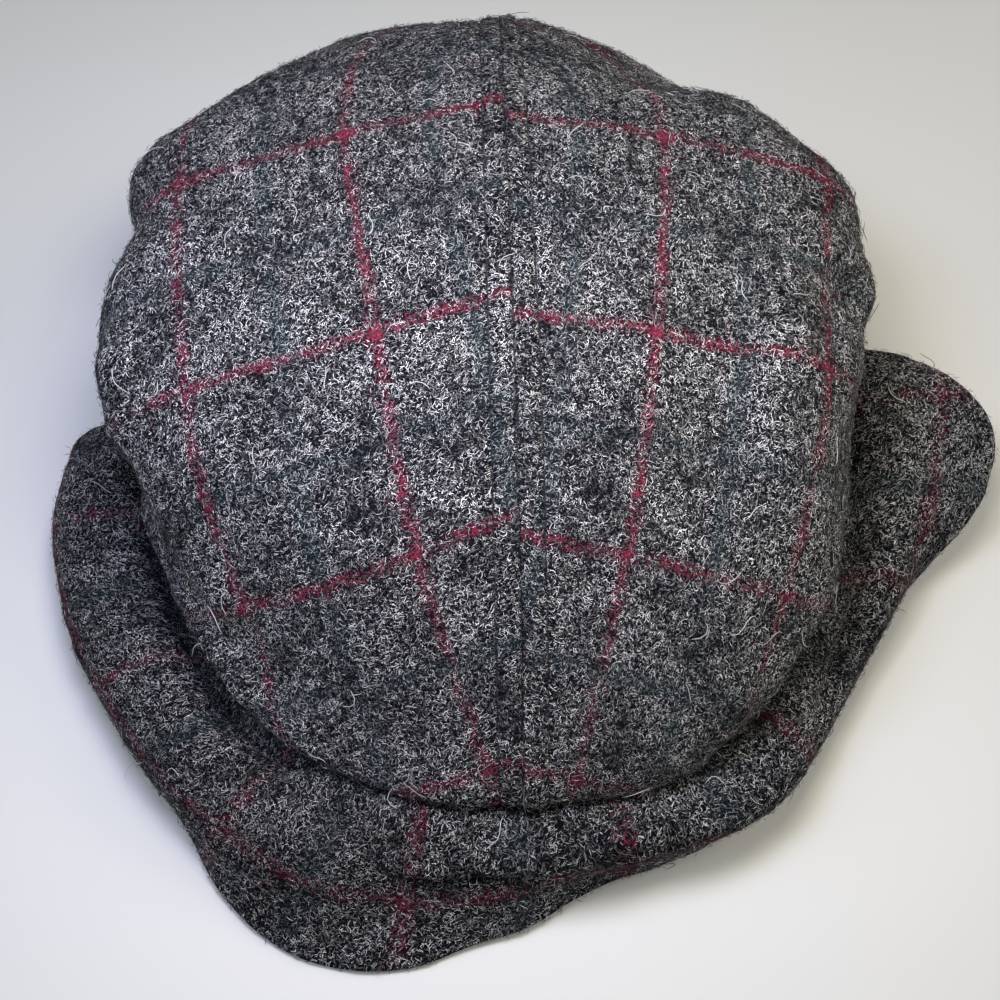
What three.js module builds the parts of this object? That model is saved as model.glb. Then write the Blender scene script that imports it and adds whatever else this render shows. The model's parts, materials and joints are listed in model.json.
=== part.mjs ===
// Earflap cap of felted wool: two crown panels, one flap round the back and sides, and a peak.
// Millimetres, +Z up.  +Y is the front of the cap, +X the wearer's right.
import * as THREE from 'three';

// Driving dimensions
const CROWN_WALL = 2;
const FLAP_WALL = 3;
const PEAK_THICKNESS = 5;
const SEAM_GAP = 0.3;
const RIM_CLEARANCE = 0.4;
const SEAM_ALLOWANCE = 2.5;
const SETTLING = 1.5;

// The plane of the middle seam, turned a little so that the seam drifts to the right at the back
const SEAM_TURN = 1.6;
const SEAM_PIVOT_Y = 230;

// Rim of the head opening, an oval with full corners, standing clear of the table on the flap
const RIM_HALF_WIDTH = 90;
const RIM_HALF_LENGTH = 97;
const RIM_MIDDLE_X = 0;
const RIM_MIDDLE_Y = 97;
const RIM_SQUARENESS = 2.5;
const RIM_HEIGHT = { side: 28, rear: 25.5, fore: 30, hold: 1 };

// Peak: a crescent that slopes from the front of the rim down to the table, steeper at its sides, so
// that it arches over its middle
const PEAK_HALF_ANGLE = 58;
const PEAK_REACH = 78;
const PEAK_END_REACH = 12;
const PEAK_ROUNDNESS = 0.6;
const PEAK_FALL = { middle: 0.29, end: 0.62 };

// Grid sizes: cells along and across each sheet
const CROWN_CELLS = { along: 36, across: 18 };
const FLAP_CELLS = { along: 96, across: 9 };
const PEAK_CELLS = { along: 24, across: 5 };

// The crown as closed loops from its top (at 0) to the rim (at 1).  A row gives a loop's reach to
// the left and right of the seam, the place of its back, front and widest point along the cap, its
// height at the sides, rear and fore, how full its corners are (2 is an ellipse), and how soon its
// front rises to the sides (1 is at once).
const CROWN_LOOPS = [
  { at: 0.00, left: 0, right: 0, back: 150, front: 150, widest: 150, side: 100.5, rear: 100.5, fore: 100.5,
    cornerLeft: 2.0, cornerRight: 2.0, cornerFront: 2.0, hold: 1.0 },
  { at: 0.30, left: 62, right: 59, back: 88, front: 220, widest: 143, side: 97.0, rear: 93.5, fore: 91.0,
    cornerLeft: 2.0, cornerRight: 2.0, cornerFront: 2.0, hold: 1.0 },
  { at: 0.48, left: 95, right: 90, back: 56, front: 248, widest: 135, side: 91.5, rear: 81.0, fore: 77.0,
    cornerLeft: 2.0, cornerRight: 2.2, cornerFront: 2.05, hold: 1.0 },
  { at: 0.62, left: 110, right: 102, back: 36, front: 260, widest: 131, side: 82.0, rear: 68.0, fore: 58.0,
    cornerLeft: 1.95, cornerRight: 2.4, cornerFront: 2.1, hold: 1.0 },
  { at: 0.74, left: 113, right: 104, back: 20, front: 262, widest: 130, side: 68.0, rear: 54.0, fore: 36.0,
    cornerLeft: 1.85, cornerRight: 2.5, cornerFront: 2.2, hold: 0.7 },
  { at: 0.86, left: 107, right: 97, back: 6, front: 248, widest: 114, side: 47.0, rear: 40.0, fore: 17.0,
    cornerLeft: 1.85, cornerRight: 2.7, cornerFront: 2.8, hold: 0.3 },
  { at: 0.955, left: 92, right: 91, back: -1, front: 212, widest: 98, side: 34.0, rear: 30.0, fore: 27.0,
    cornerLeft: 2.4, cornerRight: 2.5, cornerFront: 2.6, hold: 0.5 },
  { at: 1.00, left: 90, right: 90, back: 0, front: 194, widest: 97, side: 28.0, rear: 25.5, fore: 30.0,
    cornerLeft: 2.5, cornerRight: 2.5, cornerFront: 2.5, hold: 1.0 },
];

// Dents (negative) and swellings (positive) of the soft crown, each at a point of its outer face
const CROWN_DENTS = [
  { x: 88, y: 124, z: 82, across: 14, along: 12, depth: -5.0 },
  { x: 55, y: 80, z: 93, across: 12, along: 45, depth: -2.5 },
  { x: 80, y: 95, z: 86, across: 9, along: 45, depth: 1.5 },
  { x: 50, y: 224, z: 80, across: 30, along: 24, depth: -11.0 },
  { x: 103, y: 170, z: 70, across: 16, along: 18, depth: 6.5 },
  { x: 107, y: 142, z: 68, across: 12, along: 9, depth: 3.5 },
  { x: 106, y: 132, z: 76, across: 10, along: 8, depth: 3.5 },
  { x: 98, y: 82, z: 74, across: 14, along: 30, depth: -6.0 },
  { x: 90, y: 50, z: 52, across: 12, along: 12, depth: 3.0 },
  { x: -107, y: 178, z: 70, across: 22, along: 17, depth: 7.0 },
  { x: -112, y: 152, z: 70, across: 16, along: 11, depth: -6.0 },
  { x: -101, y: 88, z: 61, across: 10, along: 26, depth: -5.0 },
  { x: -103, y: 92, z: 43, across: 11, along: 28, depth: 6.0 },
];

// The flap as sections round the rim, from its left end to its right end.  A row gives the
// section's place on the rim and its direction (degrees from the back), then how far out and how
// high lie its roll, its tuck and its free edge.
const FLAP_SECTIONS = [
  { at: -100, fan: -86, rollOut: 52, rollUp: 36, tuckOut: 54, tuckUp: 18, edgeOut: 51, edgeUp: 1 },
  { at: -85, fan: -88, rollOut: 52, rollUp: 36, tuckOut: 54, tuckUp: 16, edgeOut: 49, edgeUp: 0 },
  { at: -65, fan: -72, rollOut: 42, rollUp: 35, tuckOut: 40, tuckUp: 14, edgeOut: 38, edgeUp: 0 },
  { at: -45, fan: -52, rollOut: 35, rollUp: 32, tuckOut: 32, tuckUp: 14, edgeOut: 33, edgeUp: 0 },
  { at: -30, fan: -38, rollOut: 28, rollUp: 29, tuckOut: 32, tuckUp: 8, edgeOut: 41, edgeUp: 2.5 },
  { at: -18, fan: -26, rollOut: 24, rollUp: 27, tuckOut: 24, tuckUp: 6, edgeOut: 45, edgeUp: 2.5 },
  { at: -8, fan: -11, rollOut: 24, rollUp: 26, tuckOut: 20, tuckUp: 6, edgeOut: 41, edgeUp: 2.5 },
  { at: 0, fan: -2, rollOut: 26, rollUp: 25, tuckOut: 16, tuckUp: 14, edgeOut: 32, edgeUp: 2.5 },
  { at: 10, fan: 6, rollOut: 28, rollUp: 26, tuckOut: 14, tuckUp: 15, edgeOut: 22, edgeUp: 3 },
  { at: 22, fan: 18, rollOut: 27, rollUp: 26, tuckOut: 15, tuckUp: 15, edgeOut: 19, edgeUp: 3 },
  { at: 36, fan: 34, rollOut: 29, rollUp: 28, tuckOut: 22, tuckUp: 14, edgeOut: 18, edgeUp: 2 },
  { at: 50, fan: 52, rollOut: 28, rollUp: 31, tuckOut: 23, tuckUp: 14, edgeOut: 19, edgeUp: 0 },
  { at: 66, fan: 72, rollOut: 31, rollUp: 34, tuckOut: 26, tuckUp: 16, edgeOut: 24, edgeUp: 0 },
  { at: 80, fan: 84, rollOut: 35, rollUp: 36, tuckOut: 37, tuckUp: 24, edgeOut: 38, edgeUp: 6 },
  { at: 92, fan: 92, rollOut: 23, rollUp: 36, tuckOut: 45, tuckUp: 34, edgeOut: 66, edgeUp: 27 },
  { at: 112, fan: 98, rollOut: 23, rollUp: 36, tuckOut: 45, tuckUp: 36, edgeOut: 66, edgeUp: 33 },
];
const FLAP_CORNERS = { left: 30, right: 44 };

const WOOL = { color: 0x4b4a4d, roughness: 0.95, metalness: 0 };
const FLAP_WOOL = { color: 0x3a393c, roughness: 0.95, metalness: 0 };

const BACKWARDS = -1;
const LEFT = -1;
const RIGHT = 1;

// Which way round a grid's cells go, seen from the outer face
const CLOCKWISE = -1;
const ANTICLOCKWISE = 1;

const DEGREE = THREE.MathUtils.DEG2RAD;

// Reads a table between its rows: every column follows a smooth curve through the rows.
function readTable(rows, at) {
  let k = 0;
  while (k < rows.length - 2 && rows[k + 1].at < at) k += 1;
  const span = rows[k + 1].at - rows[k].at;
  const t = (at - rows[k].at) / span;
  const slope = (column, i) => {
    const before = rows[Math.max(i - 1, 0)];
    const after = rows[Math.min(i + 1, rows.length - 1)];
    return (after[column] - before[column]) / (after.at - before.at);
  };
  const values = {};
  for (const column of Object.keys(rows[0])) {
    const start = rows[k][column];
    const rise = rows[k + 1][column] - start;
    const leaving = slope(column, k) * span - rise;
    const arriving = rise - slope(column, k + 1) * span;
    values[column] = start + t * rise + t * (1 - t) * ((1 - t) * leaving + t * arriving);
  }
  return values;
}

// A share of a length, counted from its middle: -1 to 1
function fromMiddle(share) {
  return 2 * share - 1;
}

// Sine and cosine with the corners of the oval filled out
function ovalPoint(angle, squareness) {
  const fill = (value) => Math.sign(value) * Math.abs(value) ** (2 / squareness);
  return { across: fill(Math.sin(angle)), back: fill(Math.cos(angle)) };
}

// Height of a loop that lies at one height at the sides and at others at the rear and fore
function loopHeight(angle, height) {
  const along = Math.cos(angle) ** 2;
  if (Math.cos(angle) > 0) return height.side + (height.rear - height.side) * along;
  return height.side + (height.fore - height.side) * along ** height.hold;
}

// A point of the rim, by its angle from the back
function rimPoint(angle) {
  const oval = ovalPoint(angle, RIM_SQUARENESS);
  const x = RIM_MIDDLE_X + RIM_HALF_WIDTH * oval.across;
  const y = RIM_MIDDLE_Y + BACKWARDS * RIM_HALF_LENGTH * oval.back;
  return new THREE.Vector3(x, y, loopHeight(angle, RIM_HEIGHT));
}

// A grid of points, rows along and columns across
function makeSheet(cells, pointAt) {
  const sheet = [];
  for (let i = 0; i <= cells.along; i += 1) {
    const row = [];
    for (let j = 0; j <= cells.across; j += 1) {
      row.push(pointAt(i / cells.along, j / cells.across));
    }
    sheet.push(row);
  }
  return sheet;
}

// Corner numbers of a grid's triangles.  In the back half the cells are split the other way, so that
// the splits run to the round side's corners.
function sheetFaces(rows, columns) {
  const faces = [];
  for (let i = 0; i < rows - 1; i += 1) {
    for (let j = 0; j < columns - 1; j += 1) {
      const near = i * columns + j;
      const far = near + columns;
      const cell = [near, far, far + 1, near + 1];
      const [a, b, c, d] = 2 * i < rows - 1 ? [...cell.slice(1), cell[0]] : cell;
      faces.push([a, b, c], [a, c, d]);
    }
  }
  return faces;
}

// Directions square to a sheet, pointing out of its outer face
function sheetNormals(sheet, turn) {
  const columns = sheet[0].length;
  const geometry = new THREE.BufferGeometry().setFromPoints(sheet.flat());
  geometry.setIndex(sheetFaces(sheet.length, columns).flat());
  geometry.computeVertexNormals();
  const { normal } = geometry.attributes;
  return sheet.map((row, i) => row.map((_, j) => (
    new THREE.Vector3().fromBufferAttribute(normal, i * columns + j).multiplyScalar(turn)
  )));
}

// Gives a sheet a wall on its inner side and closes its edges
function thicken(outer, normals, wall, settle) {
  const inner = outer.map((row, i) => row.map((point, j) => (
    settle(point.clone().addScaledVector(normals[i][j], -wall))
  )));
  const rows = outer.length;
  const columns = outer[0].length;
  const count = rows * columns;
  const upper = sheetFaces(rows, columns);
  const lower = upper.map(([a, b, c]) => [c + count, b + count, a + count]);
  const border = [];
  for (let i = 0; i < rows - 1; i += 1) border.push(i * columns);
  for (let j = 0; j < columns - 1; j += 1) border.push((rows - 1) * columns + j);
  for (let i = rows - 1; i > 0; i -= 1) border.push(i * columns + columns - 1);
  for (let j = columns - 1; j > 0; j -= 1) border.push(j);
  const edges = border.flatMap((here, k) => {
    const next = border[(k + 1) % border.length];
    return [[here, here + count, next + count], [here, next + count, next]];
  });
  return { points: [...outer.flat(), ...inner.flat()], faces: [...upper, ...lower, ...edges].flat() };
}

// A named mesh from points and faces, turned inside out where the grid runs the other way round
function makeMesh(name, { points, faces }, turn, look) {
  const geometry = new THREE.BufferGeometry();
  geometry.setFromPoints(points);
  geometry.setIndex(turn === ANTICLOCKWISE ? faces : faces.slice().reverse());
  geometry.computeVertexNormals();
  const mesh = new THREE.Mesh(geometry, new THREE.MeshStandardMaterial(look));
  mesh.name = name;
  return mesh;
}

// A point of the crown's outer face.  Along and across run over half a square that is drawn out
// to half a disc, its straight side on the seam and its round side on the rim.
function crownPoint(side, along, across) {
  const a = fromMiddle(along);
  const u = a * Math.sqrt(1 - across * across / 2);
  const v = across * Math.sqrt(1 - a * a / 2);
  const loop = readTable(CROWN_LOOPS, Math.min(Math.hypot(u, v), 1));
  const angle = Math.atan2(v, -u);
  const behind = Math.cos(angle) > 0;
  const backCorner = side === LEFT ? loop.cornerLeft : loop.cornerRight;
  const oval = ovalPoint(angle, behind ? backCorner : loop.cornerFront);
  const reach = side === LEFT ? loop.left : loop.right;
  const end = behind ? loop.widest - loop.back : loop.front - loop.widest;
  const y = loop.widest + BACKWARDS * end * oval.back;
  const drift = Math.tan(SEAM_TURN * DEGREE) * (SEAM_PIVOT_Y - y);
  const x = side * (SEAM_GAP / 2 + reach * oval.across) + drift * (1 - oval.across);
  return new THREE.Vector3(x, y, loopHeight(angle, loop));
}

// How far the crown stands out of its smooth form at a point
function dentDepth(point) {
  let depth = 0;
  for (const dent of CROWN_DENTS) {
    const across = Math.hypot(point.x - dent.x, point.z - dent.z) / dent.across;
    const along = (point.y - dent.y) / dent.along;
    depth += dent.depth * Math.exp(-across * across - along * along);
  }
  return depth;
}

// One half of the crown, flat against the plane of the seam
function makeCrownPanel(name, side) {
  const turn = side === LEFT ? ANTICLOCKWISE : CLOCKWISE;
  const smooth = makeSheet(CROWN_CELLS, (along, across) => crownPoint(side, along, across));
  const swell = sheetNormals(smooth, turn);
  const seamFace = new THREE.Vector3(Math.cos(SEAM_TURN * DEGREE), Math.sin(SEAM_TURN * DEGREE), 0);
  const onSeam = (normals) => normals.forEach((row) => row[0].projectOnPlane(seamFace).normalize());
  onSeam(swell);
  const outer = smooth.map((row, i) => row.map((point, j) => (
    point.clone().addScaledVector(swell[i][j], dentDepth(point))
  )));
  const normals = sheetNormals(outer, turn);
  onSeam(normals);
  const wall = thicken(outer, normals, CROWN_WALL, (point) => point);
  return makeMesh(name, wall, turn, WOOL);
}

// Cloth that comes near the table settles flat on it
function onTable(point) {
  return point.z < SETTLING ? point.setZ(0) : point;
}

// Length of flap that is left near a rounded end
function cornerShare(fromEnd, corner, depth) {
  if (fromEnd >= corner) return 1;
  const cut = corner - Math.sqrt(corner * corner - (corner - fromEnd) ** 2);
  return 1 - cut / depth;
}

// A point of the flap's outer face: along runs round the rim, across from the rim to the free edge
function flapPoint(along, across) {
  const first = FLAP_SECTIONS[0].at;
  const last = FLAP_SECTIONS[FLAP_SECTIONS.length - 1].at;
  const at = first + along * (last - first);
  const section = readTable(FLAP_SECTIONS, at);
  const angle = at * DEGREE;
  const rim = rimPoint(angle);
  const fan = section.fan * DEGREE;
  const rise = Math.max(section.rollUp - rim.z, 0) / section.rollOut;
  const sewnHeight = rim.z - RIM_CLEARANCE - SEAM_ALLOWANCE * rise;
  const profile = new THREE.CubicBezierCurve(
    new THREE.Vector2(-SEAM_ALLOWANCE, sewnHeight),
    new THREE.Vector2(section.rollOut, section.rollUp),
    new THREE.Vector2(section.tuckOut, section.tuckUp),
    new THREE.Vector2(section.edgeOut, section.edgeUp),
  );
  const degree = rimPoint(angle + DEGREE).distanceTo(rim);
  const left = cornerShare((at - first) * degree, FLAP_CORNERS.left, profile.getLength());
  const right = cornerShare((last - at) * degree, FLAP_CORNERS.right, profile.getLength());
  const { x: out, y: height } = profile.getPointAt(across * Math.min(left, right));
  const x = rim.x + out * Math.sin(fan);
  const y = rim.y + BACKWARDS * out * Math.cos(fan);
  return onTable(new THREE.Vector3(x, y, height));
}

function makeFlap() {
  const outer = makeSheet(FLAP_CELLS, flapPoint);
  const wall = thicken(outer, sheetNormals(outer, CLOCKWISE), FLAP_WALL, onTable);
  return makeMesh('ear_flap', wall, CLOCKWISE, FLAP_WOOL);
}

// A point of the peak's upper face: along runs from its left end to its right end
function peakPoint(along, across) {
  const turn = fromMiddle(along);
  const angle = Math.PI - turn * PEAK_HALF_ANGLE * DEGREE;
  const rim = rimPoint(angle);
  const swell = (1 - turn * turn) ** PEAK_ROUNDNESS;
  const reach = PEAK_END_REACH + (PEAK_REACH - PEAK_END_REACH) * swell;
  const out = across * (reach + SEAM_ALLOWANCE) - SEAM_ALLOWANCE;
  const outwards = new THREE.Vector2(rim.x - RIM_MIDDLE_X, rim.y - RIM_MIDDLE_Y).normalize();
  const fall = PEAK_FALL.middle + (PEAK_FALL.end - PEAK_FALL.middle) * turn * turn;
  const height = rim.z - RIM_CLEARANCE - fall * Math.max(out, 0);
  return new THREE.Vector3(rim.x + outwards.x * out, rim.y + outwards.y * out, height);
}

function makePeak() {
  const outer = makeSheet(PEAK_CELLS, peakPoint);
  const wall = thicken(outer, sheetNormals(outer, ANTICLOCKWISE), PEAK_THICKNESS, onTable);
  return makeMesh('peak', wall, ANTICLOCKWISE, FLAP_WOOL);
}

const cap = new THREE.Group();
cap.add(makeCrownPanel('crown_left', LEFT), makeCrownPanel('crown_right', RIGHT));
cap.add(makeFlap(), makePeak());

// The origin is under the middle of the cap, on the table
const box = new THREE.Box3().setFromObject(cap);
const middle = box.getCenter(new THREE.Vector3());
cap.position.set(-middle.x, -middle.y, -box.min.z);

const part = new THREE.Group();
part.add(cap);

export default part;
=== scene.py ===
"""Earflap cap of felted wool that lies on a table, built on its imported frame.

The crown is two panels sewn along the middle, with a row of topstitching on each side of the seam.
One flap runs round the back and sides, and a cloth-covered peak sits at the front.  The wool's own
hairs stand on every outer face.
"""

import json
import math

import bpy
import numpy as np
from bpy.props import FloatProperty, FloatVectorProperty, IntProperty, PointerProperty
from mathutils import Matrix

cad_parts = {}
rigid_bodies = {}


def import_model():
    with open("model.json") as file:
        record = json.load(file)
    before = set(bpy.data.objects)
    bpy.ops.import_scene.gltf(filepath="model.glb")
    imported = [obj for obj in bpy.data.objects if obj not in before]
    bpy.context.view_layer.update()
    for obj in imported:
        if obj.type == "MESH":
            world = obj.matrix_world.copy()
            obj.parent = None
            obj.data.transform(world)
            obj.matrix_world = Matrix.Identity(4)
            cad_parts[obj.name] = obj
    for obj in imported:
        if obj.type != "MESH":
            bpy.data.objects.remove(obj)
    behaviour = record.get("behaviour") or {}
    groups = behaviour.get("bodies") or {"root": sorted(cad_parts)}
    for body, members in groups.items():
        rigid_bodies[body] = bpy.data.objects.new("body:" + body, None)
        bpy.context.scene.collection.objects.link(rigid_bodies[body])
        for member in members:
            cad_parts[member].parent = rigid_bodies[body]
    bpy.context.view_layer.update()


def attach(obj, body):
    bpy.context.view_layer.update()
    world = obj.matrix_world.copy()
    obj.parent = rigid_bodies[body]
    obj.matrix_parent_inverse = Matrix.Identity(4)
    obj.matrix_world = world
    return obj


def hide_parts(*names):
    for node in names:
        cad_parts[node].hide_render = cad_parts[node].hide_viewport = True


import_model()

bl_info = {
    "name": "Earflap Cap",
    "version": (1, 0, 0),
    "blender": (4, 5, 0),
    "location": "3D View > Sidebar > Cap",
    "description": "Builds a felted wool earflap cap with a windowpane check",
    "category": "Add Mesh",
}

MM = 0.001
LEFT, RIGHT = -1, 1

# The tables below are in millimetres from the back of the rim; this is where that point lies
TABLES_AT = np.array((-7.636, -116.052, 0.0))

# The crown as loops from its top to the rim
CROWN_COLUMNS = (
    "at", "left", "right", "back", "front", "widest", "side", "rear", "fore",
    "corner_left", "corner_right", "corner_front", "hold",
)
CROWN_LOOPS = (
    (0.000, 0, 0, 150, 150, 150, 100.5, 100.5, 100.5, 2.00, 2.0, 2.00, 1.0),
    (0.300, 62, 59, 88, 220, 143, 97.0, 93.5, 91.0, 2.00, 2.0, 2.00, 1.0),
    (0.480, 95, 90, 56, 248, 135, 91.5, 81.0, 77.0, 2.00, 2.2, 2.05, 1.0),
    (0.620, 110, 102, 36, 260, 131, 82.0, 68.0, 58.0, 1.95, 2.4, 2.10, 1.0),
    (0.740, 113, 104, 20, 262, 130, 68.0, 54.0, 36.0, 1.85, 2.5, 2.20, 0.7),
    (0.860, 107, 97, 6, 248, 114, 47.0, 40.0, 17.0, 1.85, 2.7, 2.80, 0.3),
    (0.955, 92, 91, -1, 212, 98, 34.0, 30.0, 27.0, 2.40, 2.5, 2.60, 0.5),
    (1.000, 90, 90, 0, 194, 97, 28.0, 25.5, 30.0, 2.50, 2.5, 2.50, 1.0),
)
# Dents and swellings of the crown: place, reach across and along, depth
CROWN_DENTS = (
    (88, 124, 82, 14, 12, -5.0),
    (55, 80, 93, 12, 45, -2.5),
    (80, 95, 86, 9, 45, 1.5),
    (50, 224, 80, 30, 24, -11.0),
    (103, 170, 70, 16, 18, 6.5),
    (107, 142, 68, 12, 9, 3.5),
    (106, 132, 76, 10, 8, 3.5),
    (98, 82, 74, 14, 30, -6.0),
    (90, 50, 52, 12, 12, 3.0),
    (-107, 178, 70, 22, 17, 7.0),
    (-112, 152, 70, 16, 11, -6.0),
    (-101, 88, 61, 10, 26, -5.0),
    (-103, 92, 43, 11, 28, 6.0),
)
# Finer folds of the crown's cloth: reach to each side, rise, and the points of a line along it
CROWN_FOLDS = (
    (9.0, 3.6, ((-96, 88, 72), (-92, 77, 68), (-87, 68, 65), (-82, 60, 60), (-75, 50, 55))),
    (7.0, 4.0, (
        (-103, 104, 80), (-101, 94, 72), (-100, 83, 62), (-97, 73, 54), (-91, 61, 46), (-82, 45, 40),
        (-71, 30, 36),
    )),
    (4.5, -5.5, (
        (-107, 106, 60), (-106, 92, 52), (-103, 80, 45), (-93, 61, 36), (-84, 44, 31), (-73, 30, 28),
    )),
    (6.0, -2.5, ((-104, 106, 42), (-103, 88, 40))),
    (6.0, 2.0, ((79, 124, 92), (77, 107, 93), (70, 90, 90), (72, 74, 85))),
    (7.0, -1.8, ((97, 124, 84), (91, 113, 88), (86, 103, 89))),
)
SEAM_TURN = math.radians(1.6)
SEAM_PIVOT_Y = 230
SEAM_GAP = 0.04
# The cloth beside the seam: rise, place and reach of a welt, in shares of the stitch row's distance, then
# depth, reach and wave of the groove at the stitches, and depth of the seam itself
WELT_RISE, WELT_AT, WELT_REACH = 0.55, 0.52, 0.36
GROOVE_DEPTH, GROOVE_REACH, GROOVE_WAVE = 1.1, 0.9, 0.25
SEAM_DEPTH = 0.12
# Painted shade in the groove at the stitches, drawn as darker wool: mean, variation and its wavelength, reach,
# share at the seam
GROOVE_SHADE_MEAN, GROOVE_SHADE_VARIES, GROOVE_SHADE_WAVE, GROOVE_SHADE_REACH, GROOVE_SHADE_AT_SEAM = 0.75, 0.35, 7, 0.6, 0.6
GROOVE_SHADE_SEED = 3
BALD_REACH = 1.7
# How near to its edges the crown's relief fades, and the width along the seam that keeps it
CROWN_FADE, SEAM_WIDTH = 4, 12

# The rim of the head opening
RIM_HALF_WIDTH, RIM_HALF_LENGTH, RIM_MIDDLE_Y = 90, 97, 97
RIM_SQUARENESS = 2.5
RIM_HEIGHT = {"side": 28.0, "rear": 25.5, "fore": 30.0, "hold": 1.0}
RIM_CLEARANCE = 0.4
SEAM_ALLOWANCE = 2.5

# The flap as sections round the rim: how far out and how high lie its roll, tuck and free edge
FLAP_COLUMNS = ("at", "fan", "roll_out", "roll_up", "tuck_out", "tuck_up", "edge_out", "edge_up")
FLAP_SECTIONS = (
    (-100, -86, 52, 36, 54, 18, 51, 1.0),
    (-85, -88, 52, 36, 54, 16, 49, 0.0),
    (-65, -72, 42, 35, 40, 14, 38, 0.0),
    (-45, -52, 35, 32, 32, 14, 33, 0.0),
    (-30, -38, 28, 29, 32, 8, 41, 2.5),
    (-18, -26, 24, 27, 24, 6, 45, 2.5),
    (-8, -11, 24, 26, 20, 6, 41, 2.5),
    (0, -2, 26, 25, 16, 14, 32, 2.5),
    (10, 6, 28, 26, 14, 15, 22, 3.0),
    (22, 18, 27, 26, 15, 15, 19, 3.0),
    (36, 34, 29, 28, 22, 14, 18, 2.0),
    (50, 52, 28, 31, 23, 14, 19, 0.0),
    (66, 72, 31, 34, 26, 16, 24, 0.0),
    (80, 84, 35, 36, 37, 24, 38, 6.0),
    (92, 92, 23, 36, 45, 34, 66, 27.0),
    (112, 98, 23, 36, 45, 36, 66, 33.0),
)
FLAP_FROM, FLAP_TO = FLAP_SECTIONS[0][0], FLAP_SECTIONS[-1][0]
FLAP_CORNERS = {"left": 30, "right": 44}
FLAP_FADE = 5

# The peak: a crescent that falls from the front of the rim to the table
PEAK_HALF_ANGLE = math.radians(58)
PEAK_REACH, PEAK_END_REACH = 78, 12
PEAK_ROUNDNESS = 0.6
PEAK_FALL = {"middle": 0.29, "end": 0.62}

# Walls, in millimetres
CROWN_WALL, FLAP_WALL, PEAK_THICKNESS = 2.0, 3.0, 5.0
CROWN_EDGE = 0.35
# Unevenness of each cloth: rise, wavelength, number added to the seed
CROWN_UNEVENNESS = ((0.45, 42, 0), (0.16, 11, 5))
FLAP_UNEVENNESS = ((0.5, 38, 11), (0.15, 10, 12))
PEAK_UNEVENNESS = ((0.2, 30, 21),)
WAVELENGTH_RANGE = (0.7, 1.5)
# Grid of each cloth: length and step along it, length and step across it
CROWN_GRID = (430, 1.9, 200, 1.8)
FLAP_GRID = (520, 1.7, 56, 0.8)
PEAK_GRID = (260, 2.2, 80, 1.8)
# A grid's closer steps inside a rounded edge, where its even ones start and how few they may be
EDGE_STEPS = (0.0, 0.06, 0.22, 0.5, 1.0)
EVEN_FROM, FEWEST_STEPS = 1.8, 4
# The crown grid's columns beside the seam, closest at the stitches, and where the even ones go on
SEAM_COLUMNS = (
    0.0, 0.02, 0.09, 0.2, 0.4, 1.2, 2.3, 3.0, 3.7, 4.3, 4.9, 5.4, 5.9, 6.4, 6.9, 7.4, 8.0, 8.8, 9.8,
)
SEAM_COLUMNS_TO = 11
# Rows and columns of the grid that is laid flat, and the rounds of unwrapping it takes
CUT_GRID, UNWRAPPING = (61, 31), 40

# Points of each crown panel that show how the check lies: place, number of the lengthwise and the
# cross line there
CHECK_POINTS = {
    LEFT: (
        ((-33.5, 103.7, 95.6), 0, 0),
        ((-17.5, 48.8, 76.2), 0, -1),
        ((-41.4, 171.7, 97.3), 0, 1),
        ((-84.5, 93.6, 87.6), -1, 0),
        ((-68.7, 46.1, 57.1), -1, -1),
        ((-89.4, 158.5, 92.3), -1, 1),
        ((-10.2, 22.1, 54.9), 0, None),
        ((-45.1, 196.9, 93.9), 0, None),
        ((-46.1, 210.3, 90.9), 0, None),
        ((-4.0, 234.0, 86.0), None, 1.75),
        ((-60.0, 222.0, 86.0), None, 1.8),
        ((-94.5, 188.7, 85.7), -1, None),
        ((-75.8, 68.0, 77.6), -1, None),
        ((1.2, 56.2, 81.0), None, -1),
        ((-0.8, 115.9, 97.4), None, 0),
        ((-2.4, 188.2, 96.1), None, 1),
        ((-2.6, 5.2, 38.6), None, -2),
    ),
    RIGHT: (
        ((40.1, 104.3, 94.8), 0, 0),
        ((33.0, 46.7, 74.8), 0, -1),
        ((44.9, 167.9, 97.2), 0, 1),
        ((84.0, 103.4, 91.7), 1, 0),
        ((97.0, 161.8, 86.9), 1, 1),
        ((23.0, 19.9, 53.5), 0, None),
        ((42.8, 209.3, 84.2), 0, None),
        ((6.0, 232.0, 86.0), None, 1.8),
        ((50.0, 222.0, 88.0), None, 1.8),
        ((92.2, 140.3, 90.1), 1, None),
        ((81.6, 69.2, 80.7), 1, None),
        ((7.5, 51.2, 78.3), None, -1),
        ((5.2, 108.4, 96.6), None, 0),
        ((2.3, 179.0, 97.1), None, 1),
        ((13.6, 4.6, 38.2), None, -2),
    ),
}
CHECK_PULL_REACH = 110.0
# How firmly each term of the cloth's pull is held back: constant, u, v, uu, uv, vv, uuv, uvv, vvv
CHECK_PULL_HELD = (0.0, 0.02, 0.02, 0.05, 0.05, 0.05, 0.05, 0.05, 0.05)
# The flap's lengthwise stripe: angle round the rim, distance from the free edge
FLAP_STRIPE_AT = (-100, -12, 0, 12, 60, 80, 86, 91, 96, 104)
FLAP_STRIPE_FROM_EDGE = (21.0, 21.0, 15.0, 12.0, 14.0, 13.0, 17.5, 21.0, 20.0, 15.0)
FLAP_CROSSING_AT = -9.0
FLAP_PULL = 0.883
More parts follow.
